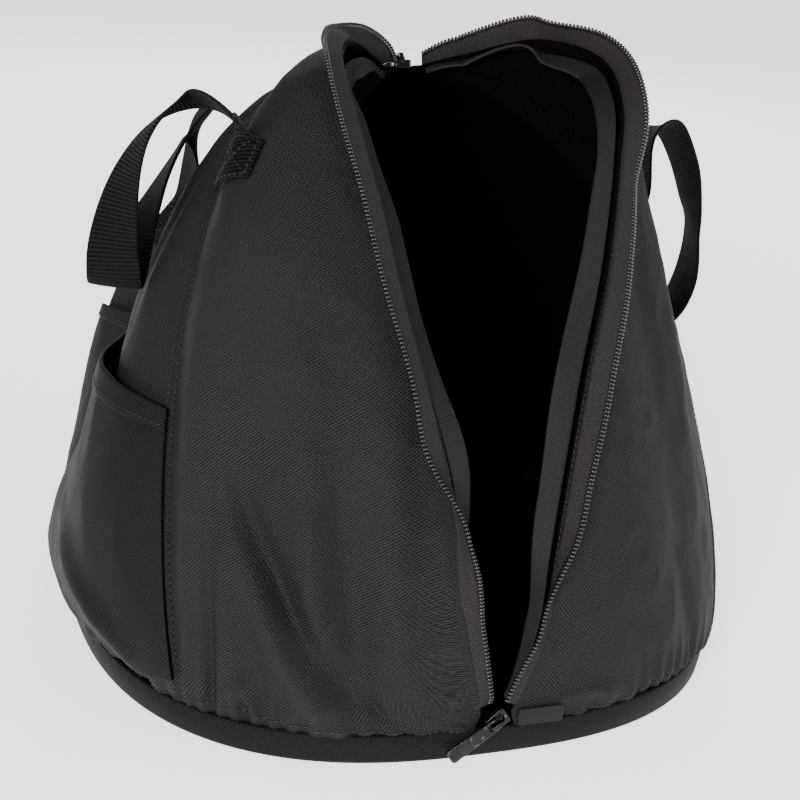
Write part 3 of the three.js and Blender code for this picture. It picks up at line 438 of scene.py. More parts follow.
# Heavy woven polyester is nearly black. Its diagonal weave is the cloth's own, but the colour paints the
# raised yarns lighter and the furrows between them darker, a painted highlight and painted shade on top of
# the bump;
# a second set of yarns crosses them, and rubbed areas look a little dusty.
def twillMaterial(look):
    material, tree, shader = newMaterial(look["name"], look["rough"], look["specular"])
    coords = addNode(tree, "ShaderNodeTexCoord", {})
    wander = addNode(tree, "ShaderNodeTexNoise", {"Scale": look["wanderScale"], "Detail": 1.0},
                     {"Vector": coords.outputs["UV"]})
    bent = addNode(tree, "ShaderNodeVectorMath",
                   {"operation": "MULTIPLY_ADD", 1: [look["pitch"] * look["wander"]] * 3},
                   {0: wander.outputs["Color"], 2: coords.outputs["UV"]})
    yarns = []
    for turn, pitch in ((look["turn"], look["pitch"]),
                        (look["turn"] + look["crossTurn"], look["pitch"] * look["crossPitch"])):
        turned = addNode(tree, "ShaderNodeMapping", {"Rotation": (0, 0, math.radians(turn))},
                         {"Vector": bent.outputs[0]})
        yarns.append(addNode(tree, "ShaderNodeTexWave", {"Scale": waveScale / pitch},
                             {"Vector": turned.outputs[0]}).outputs["Fac"])
    lines = addNode(tree, "ShaderNodeMix", {0: look["crossShare"]}, {2: yarns[0], 3: yarns[1]})
    grain = addNode(tree, "ShaderNodeTexNoise", {"Scale": 1 / look["grain"], "Detail": 2.0},
                    {"Vector": coords.outputs["UV"]})
    raised = addNode(tree, "ShaderNodeMath", {"operation": "MULTIPLY_ADD", 1: look["lineShare"]},
                     {0: lines.outputs[0], 2: grain.outputs["Fac"]})
    level = addNode(tree, "ShaderNodeMapRange", {1: look["furrow"], 2: look["crest"]},
                    {0: raised.outputs[0]})
    # Painted highlight on the yarn crests and painted shade in the furrows: the colour follows the yarn
    # height.
    weave = addNode(tree, "ShaderNodeMix",
                    {"data_type": "RGBA", 6: toLinear(look["dark"]), 7: toLinear(look["light"])},
                    {0: level.outputs[0]})
    worn = addNode(tree, "ShaderNodeTexNoise", {"Scale": look["wornScale"], "Detail": 4.0, "Roughness": 0.6},
                   {"Vector": coords.outputs["Object"]})
    fade = addNode(tree, "ShaderNodeMapRange", {1: look["wornFrom"], 2: look["wornTo"], 4: look["fade"]},
                   {0: worn.outputs["Fac"]})
    tint = addNode(tree, "ShaderNodeMix", {"data_type": "RGBA", 7: toLinear(look["dusty"])},
                   {0: fade.outputs[0], 6: weave.outputs[2]})
    finishSurface(tree, shader, tint, raised, look)
    return material


# Narrow woven goods and the lining show one rib after another; the ribs are their own, but the colour paints
# each crest lighter and the groove beside it darker, a painted highlight and painted shade on top of the
# bump.
# In the tape the ribs change direction and make a herringbone.
def bandMaterial(look):
    material, tree, shader = newMaterial(look["name"], look["rough"], look["specular"])
    coords = addNode(tree, "ShaderNodeTexCoord", {})
    split = addNode(tree, "ShaderNodeSeparateXYZ", {}, {0: coords.outputs["UV"]})
    run = split.outputs[look["along"]]
    if look["zigzag"]:
        fold = addNode(tree, "ShaderNodeMath", {"operation": "PINGPONG", 1: look["zigzag"]},
                       {0: split.outputs[1 - look["along"]]})
        run = addNode(tree, "ShaderNodeMath", {"operation": "ADD"}, {0: run, 1: fold.outputs[0]}).outputs[0]
    phase = addNode(tree, "ShaderNodeMath", {"operation": "MULTIPLY", 1: 2 * math.pi / look["pitch"]},
                    {0: run})
    rib = addNode(tree, "ShaderNodeMath", {"operation": "SINE"}, {0: phase.outputs[0]})
    level = addNode(tree, "ShaderNodeMapRange", {1: -1.0, 2: 1.0}, {0: rib.outputs[0]})
    grain = addNode(tree, "ShaderNodeTexNoise", {"Scale": look["grainScale"], "Detail": 2.0},
                    {"Vector": coords.outputs["UV"]})
    raised = addNode(tree, "ShaderNodeMath", {"operation": "MULTIPLY_ADD", 1: look["ribShare"]},
                     {0: level.outputs[0], 2: grain.outputs["Fac"]})
    ramp = addNode(tree, "ShaderNodeMapRange", {1: look["groove"], 2: look["crest"]},
                   {0: raised.outputs[0]})
    # Painted highlight on the rib crests and painted shade in the grooves: the colour follows the rib
    # height.
    tint = addNode(tree, "ShaderNodeMix",
                   {"data_type": "RGBA", 6: toLinear(look["dark"]), 7: toLinear(look["light"])},
                   {0: ramp.outputs[0]})
    finishSurface(tree, shader, tint, raised, look)
    return material


twill = {"rough": 0.6, "specular": 0.08, "pitch": 1.4 * mm, "grain": 0.8 * mm, "height": 0.35 * mm,
         "bump": 1.0, "crossTurn": 86, "crossPitch": 0.86, "crossShare": 0.3, "lineShare": 0.62,
         "wander": 1.6, "wanderScale": 60.0, "furrow": 0.55, "crest": 1.02,
         "wornScale": 17.0, "wornFrom": 0.35, "wornTo": 0.7, "fade": 0.25, "dark": "#020202"}
# Painted light and shade: the left-side copy of the one cloth is tinted a little warmer and lighter, and the
# right-side copy a little cooler and darker, as the warm key from the left and the cool fill from the right
# would make them.
leftTwillPaintedLight = twillMaterial({**twill, "name": "polyester_twill_left_painted_light", "turn": -45,
                            "light": "#2a2829", "dusty": "#252324"})
rightTwillPaintedShade = twillMaterial({**twill, "name": "polyester_twill_right_painted_shade", "turn": -32,
                            "light": "#28272a", "dusty": "#232225"})
pocketTwill = twillMaterial({**twill, "name": "polyester_twill_pocket", "turn": -45,
                             "light": "#1d1c1d", "dusty": "#1a191a"})
baseTwill = twillMaterial({**twill, "name": "polyester_twill_base", "turn": 50,
                           "light": "#19181a", "dusty": "#171617"})
# along 1 sets the ribs crosswise on a band, 0 sets them lengthwise
band = {"along": 1, "zigzag": 0, "grainScale": 900.0, "ribShare": 0.75, "groove": 0.3, "crest": 1.25}
liningKnit = bandMaterial({**band, "name": "warp_knit_lining", "rough": 0.9, "specular": 0.05,
                           "along": 0, "pitch": 2.6 * mm, "height": 0.5 * mm, "bump": 0.8,
                           "dark": "#020202", "light": "#060506"})
tapeWeave = bandMaterial({**band, "name": "herringbone_zip_tape", "rough": 0.75, "specular": 0.1,
                          "zigzag": 1.8 * mm, "pitch": 1.2 * mm, "height": 0.3 * mm, "bump": 0.7,
                          "dark": "#040404", "light": "#323030"})
bindingWeave = bandMaterial({**band, "name": "grosgrain_edge_binding", "rough": 0.6, "specular": 0.1,
                             "pitch": 0.9 * mm, "height": 0.15 * mm, "bump": 0.35,
                             "dark": "#090909", "light": "#252426"})
webbingRib = bandMaterial({**band, "name": "polypropylene_webbing", "rough": 0.75, "specular": 0.08,
                           "pitch": 2.1 * mm, "height": 0.7 * mm, "bump": 1.0,
                           "dark": "#010101", "light": "#151516"})
# Moulded nylon has a smooth skin that gives each tooth a bright dot. Thread is duller.
coilNylon = newMaterial("moulded_nylon_coil", 0.28, 0.55, "#121213")[0]
threadNylon = newMaterial("bonded_nylon_thread", 0.5, 0.5, "#131214")[0]
enamel = {"rough": 0.3, "specular": 0.5, "metallic": 0.9, "rubScale": 420.0, "rubFrom": 0.56, "rubTo": 0.78,
          "smooth": 0.14, "dull": 0.3, "dark": "#242426", "bright": "#6a6a6e"}


# Cast zinc under black enamel mirrors the lights in narrow streaks and is rubbed bright in places
def enamelMaterial():
    material, tree, shader = newMaterial("black_enamelled_zinc", enamel["rough"], enamel["specular"])
    coords = addNode(tree, "ShaderNodeTexCoord", {})
    rubbed = addNode(tree, "ShaderNodeTexNoise", {"Scale": enamel["rubScale"], "Detail": 4.0},
                     {"Vector": coords.outputs["Object"]})
    wear = addNode(tree, "ShaderNodeMapRange", {1: enamel["rubFrom"], 2: enamel["rubTo"]},
                   {0: rubbed.outputs["Fac"]})
    tint = addNode(tree, "ShaderNodeMix",
                   {"data_type": "RGBA", 6: toLinear(enamel["dark"]), 7: toLinear(enamel["bright"])},
                   {0: wear.outputs[0]})
    rough = addNode(tree, "ShaderNodeMapRange", {3: enamel["smooth"], 4: enamel["dull"]},
                    {0: rubbed.outputs["Fac"]})
    shader.inputs["Metallic"].default_value = enamel["metallic"]
    tree.links.new(tint.outputs[2], shader.inputs["Base Color"])
    tree.links.new(rough.outputs[0], shader.inputs["Roughness"])
    return material


enamelZinc = enamelMaterial()
print("materials made")


def finishPiece(name, mesh, materials, nodes, body="bag", levels=0, wall=0.0, inside=0):
    piece = bpy.data.objects.new(name, mesh)
    bpy.context.scene.collection.objects.link(piece)
    for material in materials:
        mesh.materials.append(material)
    mesh.shade_smooth()
    if wall:
        thick = piece.modifiers.new("wall", "SOLIDIFY")
        thick.thickness, thick.offset, thick.use_even_offset = wall, inside, True
        thick.material_offset = len(materials) - 1
        thick.material_offset_rim = len(materials) - 1
    if levels:
        smooth = piece.modifiers.new("round", "SUBSURF")
        smooth.levels = smooth.render_levels = levels
    if nodes:
        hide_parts(*nodes)
    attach(piece, body)
    return piece


# A bmesh grid laid on a surface. place turns shares of the two ways into points.
# The weave of a panel is laid flat from its middle column; that of a band follows its length.
def surfaceGrid(name, columns, rows, place, facing, band=False):
    bm = bmesh.new()
    bmesh.ops.create_grid(bm, x_segments=columns, y_segments=rows, size=0.5)
    mesh = bpy.data.meshes.new(name)
    bm.to_mesh(mesh)
    bm.free()
    flat = np.empty(len(mesh.vertices) * 3, np.float32)
    mesh.vertices.foreach_get("co", flat)
    flat = flat.reshape(-1, 3)[:, :2].astype(float)
    flat = (flat - flat.min(0)) / (flat.max(0) - flat.min(0))
    points = place(flat[:, 0], flat[:, 1])
    mesh.vertices.foreach_set("co", points.astype(np.float32).ravel())
    column = np.rint(flat[:, 0] * columns).astype(int)
    row = np.rint(flat[:, 1] * rows).astype(int)
    grid = np.zeros((columns + 1, rows + 1, 3))
    grid[column, row] = points
    reach = 3 if band else 2
    across = np.zeros((columns + 1, rows + 1))
    across[1:] = np.cumsum(np.linalg.norm(np.diff(grid[:, :, :reach], axis=0), axis=2), axis=0)
    across -= across[columns // 2]
    upward = np.zeros((columns + 1, rows + 1))
    upward[:, 1:] = np.cumsum(np.linalg.norm(np.diff(grid, axis=1), axis=2), axis=1)
    if band:
        upward[:] = upward.mean(0)
    else:
        level = grid[:, :, 2]
        heights = np.maximum.accumulate(level[columns // 2])
        lengths = upward[columns // 2]
        slope = (lengths[-1] - lengths[rows // 2]) / (heights[-1] - heights[rows // 2])
        upward = np.interp(level, heights, lengths) + slope * np.maximum(level - heights[-1], 0)
    uv = np.stack([across[column, row], upward[column, row]], -1)
    corners = np.empty(len(mesh.loops), np.int32)
    mesh.loops.foreach_get("vertex_index", corners)
    layer = mesh.uv_layers.new(name="UVMap")
    layer.data.foreach_set("uv", uv[corners].astype(np.float32).ravel())
    mesh.update()
    middle = mesh.polygons[len(mesh.polygons) // 2 + columns // 2]
    if middle.normal.dot(Vector(facing(*flat[middle.vertices[0]]))) < 0:
        mesh.flip_normals()
    return mesh


def panelFacing(panel):
    return lambda along, up: clothFrame(panel, np.array([along]), np.array([up]))[1][0]


# Sewn cloth panels with their lining inside
# Left panels take the copy with painted warmer light, right panels the copy with painted cooler shade.
panelMaterials = {"frontLeft": leftTwillPaintedLight, "sideLeft": leftTwillPaintedLight, "backLeft": leftTwillPaintedLight,
                  "frontRight": rightTwillPaintedShade, "sideRight": rightTwillPaintedShade, "backRight": rightTwillPaintedShade}
for key, panel in panels.items():
    mesh = surfaceGrid(panel["node"], panel["columns"], panel["rows"],
                       lambda along, up, panel=panel: clothPoint(panel, along, up * (1 - shell["topTrim"])),
                       panelFacing(panel))
    finishPiece(panel["node"].replace("panel", "cloth"), mesh, [panelMaterials[key], liningKnit],
                [panel["node"]], wall=shell["wall"], inside=-1)
print("cloth panels sewn")

# Padded tray under the shell: floor, rounded lower edge and upright band
base = {"segments": 260, "edge": 3.5 * mm, "band": 3.2 * mm, "floor": 8 * mm, "bulge": 0.8 * mm,
        "lip": 1.2 * mm, "flatInset": 7.15 * mm, "edgeSteps": 7, "bandSteps": 8, "meanRadius": 0.182}


def baseSection():
    edge, top = base["edge"], shell["bandHeight"] + base["lip"]
    turns = np.linspace(0, math.pi / 2, base["edgeSteps"])
    lower = [(edge * (1 - math.sin(t)), edge * (1 - math.cos(t))) for t in turns]
    outer = [(-base["bulge"] * math.sin(math.pi * share), edge + (top - edge) * share)
             for share in np.linspace(0.1, 1, base["bandSteps"])]
    inner = [(base["band"], top), (base["band"], base["floor"] + edge),
             (base["band"] + edge, base["floor"])]
    return [(base["flatInset"], 0.0), *lower, *outer, *inner]


def makeBase():
    section = baseSection()
    bm = bmesh.new()
    ring = bmesh.ops.create_circle(bm, segments=base["segments"], radius=1, cap_ends=False)["verts"]
    turns = np.array([math.atan2(v.co.x, -v.co.y) for v in ring]) / math.pi
    around = np.abs(turns)
    sides = np.where(turns < 0, left, right)
    waves = [ring]
    edges = list(bm.edges)
    for _ in section[1:]:
        made = bmesh.ops.extrude_edge_only(bm, edges=edges)["geom"]
        fresh = {g for g in made if isinstance(g, bmesh.types.BMVert)}
        edges = [g for g in made if isinstance(g, bmesh.types.BMEdge)
                 and g.verts[0] in fresh and g.verts[1] in fresh]
        partner = {e.other_vert(v): v for v in fresh for e in v.link_edges if e.other_vert(v) not in fresh}
        waves.append([partner[v] for v in waves[-1]])
    for (inset, height), wave in zip(section, waves):
        points, _ = outlineAt(around, sides, inset)
        for v, point in zip(wave, points):
            v.co = (point[0], point[1], height)
    for wave in (waves[0], waves[-1]):
        bmesh.ops.contextual_create(bm, geom=wave)
    bmesh.ops.recalc_face_normals(bm, faces=bm.faces)
    uv = bm.loops.layers.uv.new("UVMap")
    for face in bm.faces:
        for loop in face.loops:
            co = loop.vert.co
            if len(face.verts) > 4:
                loop[uv].uv = (co.x, co.y)
            else:
                angle = math.atan2(co.x, -co.y)
                centre = face.calc_center_median()
                if abs(angle - math.atan2(centre.x, -centre.y)) > math.pi:
                    angle += 2 * math.pi if angle < 0 else -2 * math.pi
                loop[uv].uv = (angle * base["meanRadius"], co.z)
    mesh = bpy.data.meshes.new("padded_tray")
    bm.to_mesh(mesh)
    bm.free()
    return finishPiece("padded_tray", mesh, [baseTwill], ["padded_base"])


tray = makeBase()
print("base made")

# Patch pocket on the left side
pocket = {
    "sideInset": 0.012, "foot": 0.07, "thickness": 1.8 * mm, "mouthGap": 8.6 * mm, "seamGap": 0.9 * mm,
    "hemWidth": 11 * mm, "hemThickness": 2.6 * mm, "hemLift": 0.3 * mm, "hemOverlap": 0.01,
    "top": [(0.468,), (0.490,), (0.470,), (0.440,), (0.420,)],
    "topShare": 0.47, "columns": 150, "rows": 80, "hemRows": 6,
    "slackEase": 0.7, "sideCalm": 12 * mm, "slackSize": 55 * mm, "slackSeed": 3.1,
    "crease": 0.6 * mm, "creaseSize": 24 * mm, "creaseSeed": 5.7, "hemCalm": 0.7,
}


def upAtHeight(panel, along, height):
    low, high = np.zeros_like(along), np.ones_like(along)
    for _ in range(curves["halvings"]):
        middle = (low + high) / 2
        under = barePoint(panel, along, middle)[:, 2] < height
        low, high = np.where(under, middle, low), np.where(under, high, middle)
    return (low + high) / 2


def pocketPoint(along, up, lift):
    panel = panels["sideLeft"]
    place = pocket["sideInset"] + (1 - 2 * pocket["sideInset"]) * along
    top = upAtHeight(panel, place, readRows(pocket["top"], along)[:, 0] * tall)
    slack = np.sin(np.pi * np.clip(along, 0, 1)) ** pocket["slackEase"] * smoothStep(up, 0.05, 1)
    gap = pocket["seamGap"] + (pocket["mouthGap"] - pocket["seamGap"]) * slack
    reach = pocket["foot"] + up * (top - pocket["foot"])
    bare = barePoint(panel, place, reach)
    normal = clothFrame(panel, place, reach)[1]
    side = np.minimum(along, 1 - along) * panel["wide"]
    calm = (1 - nearness(side, pocket["sideCalm"])) * smoothStep(up, 0, 0.15)
    calm *= 1 - pocket["hemCalm"] * smoothStep(up, 0.85, 1)
    depth = relief["slack"] * cloudy(bare, pocket["slackSize"], pocket["slackSeed"])
    depth += pocket["crease"] * creased(bare, pocket["creaseSize"], pocket["creaseSeed"])
    fold = foldDepth(panel, place, reach)
    return bare + normal * (gap + lift + calm * depth + fold)[:, None]


pocketTall = pocket["topShare"] * tall - shell["bandHeight"]
hemShare = 1 - pocket["hemWidth"] / pocketTall
pocketCloth = surfaceGrid("pocket", pocket["columns"], pocket["rows"],
                          lambda along, up: pocketPoint(along, up * (hemShare + pocket["hemOverlap"]),
                                                        pocket["thickness"]),
                          lambda along, up: (-1, 0, 0))
finishPiece("pocket_cloth", pocketCloth, [pocketTwill, liningKnit], ["side_pocket"],
            wall=pocket["thickness"], inside=-1)
pocketHem = surfaceGrid("pocketHem", pocket["columns"], pocket["hemRows"],
                        lambda along, up: pocketPoint(along, hemShare + (1 - hemShare) * up,
                                                      pocket["hemThickness"] / 2 + pocket["hemLift"]),
                        lambda along, up: (-1, 0, 0))
finishPiece("pocket_hem", pocketHem, [pocketTwill], ["side_pocket_hem"],
            wall=pocket["hemThickness"], inside=0, levels=1)
print("pocket made")

# Zip tapes, coils and bindings along the open rims
zipper = {
    "tapeReach": 9.5 * mm, "tapeThickness": 0.9 * mm, "tapeStandoff": 1.1 * mm,
    "toothWidth": 3.4 * mm, "toothThickness": 2.8 * mm, "gap": 0.45 * mm,
    "bindingReach": 13 * mm, "bindingThickness": 1.6 * mm, "trim": 0.012,
    "pitch": 2.0 * mm, "under": 2.2 * mm, "steps": 320, "columns": 8, "coilSteps": 500,
    "tuck": 3.5 * mm, "tuckDepth": 1.2 * mm, "tuckShare": 0.25,
    "toothPlace": 0.42, "toothSize": (1.8 * mm, 0.98 * mm, 1.35 * mm), "toothSides": 8, "toothRings": 6,
    # at, leftTurn, rightTurn, reach, root, hem, leftHem, rightHem
    "lay": [
        (0.00, 4, 4, 0.4, 4.4, 0.3, -60, -60),
        (0.10, 8, 60, 0.55, 4.4, 0.6, -58, -50),
        (0.22, 75, 125, 0.8, 3.5, 0.85, -50, -40),
        (0.34, 140, 140, 1, 3.5, 1, -40, -38),
        (0.58, 155, 140, 1, 3.5, 1, -40, -45),
        (0.72, 158, 80, 1, 4.8, 1, -50, -70),
        (0.85, 145, 25, 1, 8.5, 0.8, -70, -52),
        (0.94, 60, 15, 0.8, 6, 0.5, -80, -62),
        (1.00, 4, 4, 0.4, 4.4, 0.25, -90, -90),
    ],
}


def layAt(share):
    rows = np.array(zipper["lay"])
    result = np.zeros((len(share), rows.shape[1]))
    for first, second in zip(rows[:-1], rows[1:]):
        inside = (share >= first[0] - 1e-9) & (share <= second[0] + 1e-9)
        part = smoothStep(share[inside], first[0], second[0])[:, None]
        result[inside] = first + (second - first) * part
    return result


def rimPlace(panel, along, reach, kind):
    along = zipper["trim"] + (1 - 2 * zipper["trim"]) * along
    ones = np.ones_like(along)
    _, normal, edgeward = clothFrame(panel, along, ones)
    rows = layAt(readRows(clothLines[panel["lines"]], along)[:, 1])
    column = 1 if panel["side"] == left else 2
    hem = kind == "binding"
    turn = np.radians(rows[:, column + 5 if hem else column])[:, None]
    sink = rows[:, 4:5] * mm if hem else 0
    lift = np.maximum(0, -np.cos(turn)) * (zipper["toothThickness"] / 2 + shell["seamGap"]) - sink
    out = edgeward * np.cos(turn) + normal * np.sin(turn)
    face = normal * np.cos(turn) - edgeward * np.sin(turn)
    root = barePoint(panel, along, ones) + normal * lift
    full = rows[:, 5 if hem else 3]
    if kind == "tape":
        seen = np.clip((reach - zipper["tuckShare"]) / (1 - zipper["tuckShare"]), 0, 1)
        end = full * zipper["tapeReach"] + zipper["under"]
        distance = zipper["tapeStandoff"] + (end - zipper["tapeStandoff"]) * seen
        tucked = np.clip(1 - reach / zipper["tuckShare"], 0, 1)[:, None]
        hidden = barePoint(panel, along, ones) - edgeward * zipper["tuck"] - normal * zipper["tuckDepth"]
        return (root + out * distance[:, None]) * (1 - tucked) + hidden * tucked, out, face
    if kind == "tooth":
        distance = full * zipper["tapeReach"] + 1.5 * zipper["gap"] + zipper["toothWidth"] * reach
    else:
        distance = full * zipper["bindingReach"] * reach
    return root + out * distance[:, None], out, face


# One small rounded shape repeated at many places in a single mesh
def repeatShape(name, centres, axes, segments, rings):
    bm = bmesh.new()
    bmesh.ops.create_uvsphere(bm, u_segments=segments, v_segments=rings, radius=1)
    bmesh.ops.recalc_face_normals(bm, faces=bm.faces)
    corners = np.array([v.co for v in bm.verts])
    faces = [[v.index for v in face.verts] for face in bm.faces]
    bm.free()
    points = centres[:, None] + np.einsum("nij,vj->nvi", axes, corners)
    offsets = np.arange(len(centres)) * len(corners)
    mesh = bpy.data.meshes.new(name)
    mesh.from_pydata(points.reshape(-1, 3).tolist(), [],
                     [[index + offset for index in face] for offset in offsets.tolist() for face in faces])
    return mesh


def makeCoil(name, points, outs, faces, size, node, alternate=0.0):
    shares = lengthShares(points)
    count = int(np.linalg.norm(np.diff(points, axis=0), axis=1).sum() / zipper["pitch"])
    share = (np.arange(count) + 0.5) / count
    out = unit(alongCurve(outs, shares, share))
    face = unit(alongCurve(faces, shares, share))
    run = unit(np.cross(face, out))
    face = np.cross(out, run)
    shift = alternate * np.where(np.arange(count) % 2, 1, -1)[:, None]
    axes = np.stack([out * size[0], run * size[1], face * size[2]], -1)
    mesh = repeatShape(name, alongCurve(points, shares, share) + out * shift, axes,
                       zipper["toothSides"], zipper["toothRings"])
    return finishPiece(name, mesh, [coilNylon], [node])


def makeRimBand(word, panel, kind, material, node):
    def place(across, along):
        return rimPlace(panel, along, across, kind)[0]

    def facing(across, along):
        return rimPlace(panel, np.array([along]), np.array([across]), kind)[2][0]

    mesh = surfaceGrid(node, zipper["columns"], zipper["steps"], place, facing, band=True)
    return finishPiece(f"{kind}_{word}", mesh, [material], [node],
                       wall=zipper[f"{kind}Thickness"], inside=0, levels=1)


for word, key in (("left", "frontLeft"), ("right", "frontRight")):
    panel = panels[key]
    makeRimBand(word, panel, "tape", tapeWeave, f"zip_tape_{word}")
    makeRimBand(word, panel, "binding", bindingWeave, f"rim_binding_{word}")
    shares = np.linspace(0, 1, zipper["coilSteps"])
    points, outs, faces = rimPlace(panel, shares, np.full(len(shares), zipper["toothPlace"]), "tooth")
    makeCoil(f"coil_{word}", points, outs, faces, zipper["toothSize"], f"zip_teeth_{word}")

# The closed part of the zip, down the back. Its teeth sit left and right in turn.
closed = {"from": 0.06, "to": 0.9, "steps": 160, "columns": 10, "coilSteps": 300, "tapeSpread": 1.5 * mm,
          "toothLift": 1.0 * mm, "toothSize": (2.7 * mm, 0.95 * mm, 1.2 * mm), "alternate": 0.7 * mm}


def ridgePlace(share):
    share = closed["from"] + (closed["to"] - closed["from"]) * share
    point = alongCurve(ridgeCurve, ridgeShares, share)
    ahead = alongCurve(ridgeCurve, ridgeShares, np.minimum(share + curves["frameStep"], 1))
    behind = alongCurve(ridgeCurve, ridgeShares, np.maximum(share - curves["frameStep"], 0))
    run = unit(ahead - behind)
    out = unit(np.cross(np.array([1.0, 0, 0]), run))
    return point, out, run


def closedTape(across, along):
    point, out = ridgePlace(along)[:2]
    point = point - out * zipper["tapeThickness"] / 2
    point[:, 0] = (across * 2 - 1) * (shell["chainHalf"] + closed["tapeSpread"])
    return point


mesh = surfaceGrid("closedTape", closed["columns"], closed["steps"], closedTape,
                   lambda across, along: ridgePlace(np.array([along]))[1][0], band=True)
finishPiece("tape_back", mesh, [tapeWeave], ["zip_tape_back"],
            wall=zipper["tapeThickness"], inside=0, levels=1)
points, outs, _ = ridgePlace(np.linspace(0, 1, closed["coilSteps"]))
makeCoil("coil_back", points + outs * closed["toothLift"], np.tile([1.0, 0, 0], (len(points), 1)), outs,
         closed["toothSize"], "zip_teeth_back", alternate=closed["alternate"])
print("zip made")


# Cast and pressed metal pieces keep their CAD form with rounded edges
def roundedCopy(node, name, material, body, edge):
    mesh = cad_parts[node].data.copy()
    mesh.materials.clear()
    bm = bmesh.new()
    bm.from_mesh(mesh)
    bmesh.ops.remove_doubles(bm, verts=bm.verts, dist=1e-6)
    bmesh.ops.dissolve_limit(bm, angle_limit=math.radians(1), verts=bm.verts, edges=bm.edges)
    bm.to_mesh(mesh)
    bm.free()
    piece = finishPiece(name, mesh, [material], [node], body=body)
    bevel = piece.modifiers.new("edge", "BEVEL")
    bevel.width, bevel.segments, bevel.limit_method = edge, 2, "ANGLE"
    bevel.angle_limit = math.radians(35)
    return piece


for word in ("front", "top"):
    roundedCopy(f"zip_slider_{word}", f"slider_{word}", enamelZinc, "bag", 0.45 * mm)
    roundedCopy(f"zip_pull_{word}", f"pull_{word}", enamelZinc, f"{word}_pull", 0.35 * mm)
for word in ("front", "back"):
    roundedCopy(f"zip_tab_{word}", f"tab_{word}", bindingWeave, "bag", 0.4 * mm)
print("sliders and tabs made")

# Carry handles: their ends lie on the cloth, the rest hangs free through the rows
handle = {
    "width": 28 * mm, "thickness": 1.8 * mm, "gap": 1.1 * mm, "turns": 10, "columns": 12,
    "softenings": 14, "easings": 6, "easeFrom": 14, "curl": 0.8 * mm, "step": 0.01,
    # across, deep, high, yaw, dip
    "left": [
        (0.628, -0.365, 0.890, 84, 10),
        (0.692, -0.212, 0.901, 74, 20),
        (0.805, -0.201, 0.868, 84, 16),
        (0.886, -0.201, 0.791, 106, 8),
        (0.928, -0.230, 0.684, 142, 0),
        (0.925, -0.240, 0.634, 156, 0),
        (0.912, -0.205, 0.612, 158, 0),
        (0.883, -0.155, 0.632, 150, 0),
        (0.842, -0.105, 0.672, 122, 6),
        (0.753, 0.000, 0.740, 90, 14),
        (0.644, 0.127, 0.800, 80, 18),
        (0.560, 0.275, 0.812, 78, 14),
        (0.545, 0.420, 0.770, 84, 8),
    ],
    "right": [
        (0.800, -0.070, 0.730, 84, 4),
        (0.810, -0.032, 0.815, 76, 16),
        (0.898, 0.021, 0.840, 84, 18),
        (1.004, 0.058, 0.774, 94, 16),
        (1.073, 0.090, 0.687, 84, 10),
        (1.102, 0.106, 0.641, 74, 4),
        (1.131, 0.143, 0.558, 86, 10),
        (1.136, 0.222, 0.478, 88, 16),
        (1.118, 0.330, 0.430, 88, 18),
        (1.085, 0.420, 0.455, 90, 18),
        (1.020, 0.480, 0.550, 92, 12),
        (0.900, 0.540, 0.650, 92, 10),
        (0.740, 0.590, 0.700, 92, 8),
    ],
    # panel, along, low, high
    "feet": {
        "left": [("frontLeft", 0.870, 0.705, 0.775), ("sideLeft", 0.910, 0.590, 0.680)],
        "right": [("sideRight", 0.300, 0.560, 0.640), ("sideRight", 0.910, 0.590, 0.680)],
    },
}


def pointOver(panel, along, up, moves, lift):
    step = handle["step"]
    a0, u0 = np.array([along]), np.array([up])
    origin = barePoint(panel, a0, u0)[0]
    byAlong = (barePoint(panel, a0 + step, u0)[0] - origin) / step
    byUp = (barePoint(panel, a0, u0 + step)[0] - origin) / step
    a, b, c = byAlong @ byAlong, byAlong @ byUp, byUp @ byUp
    alongMove = (c * (moves @ byAlong) - b * (moves @ byUp)) / (a * c - b * b)
    upMove = (a * (moves @ byUp) - b * (moves @ byAlong)) / (a * c - b * b)
    return clothPoint(panel, np.clip(along + alongMove, 0, 1), np.clip(up + upMove, 0, 1), still=True,
                      lift=lift)


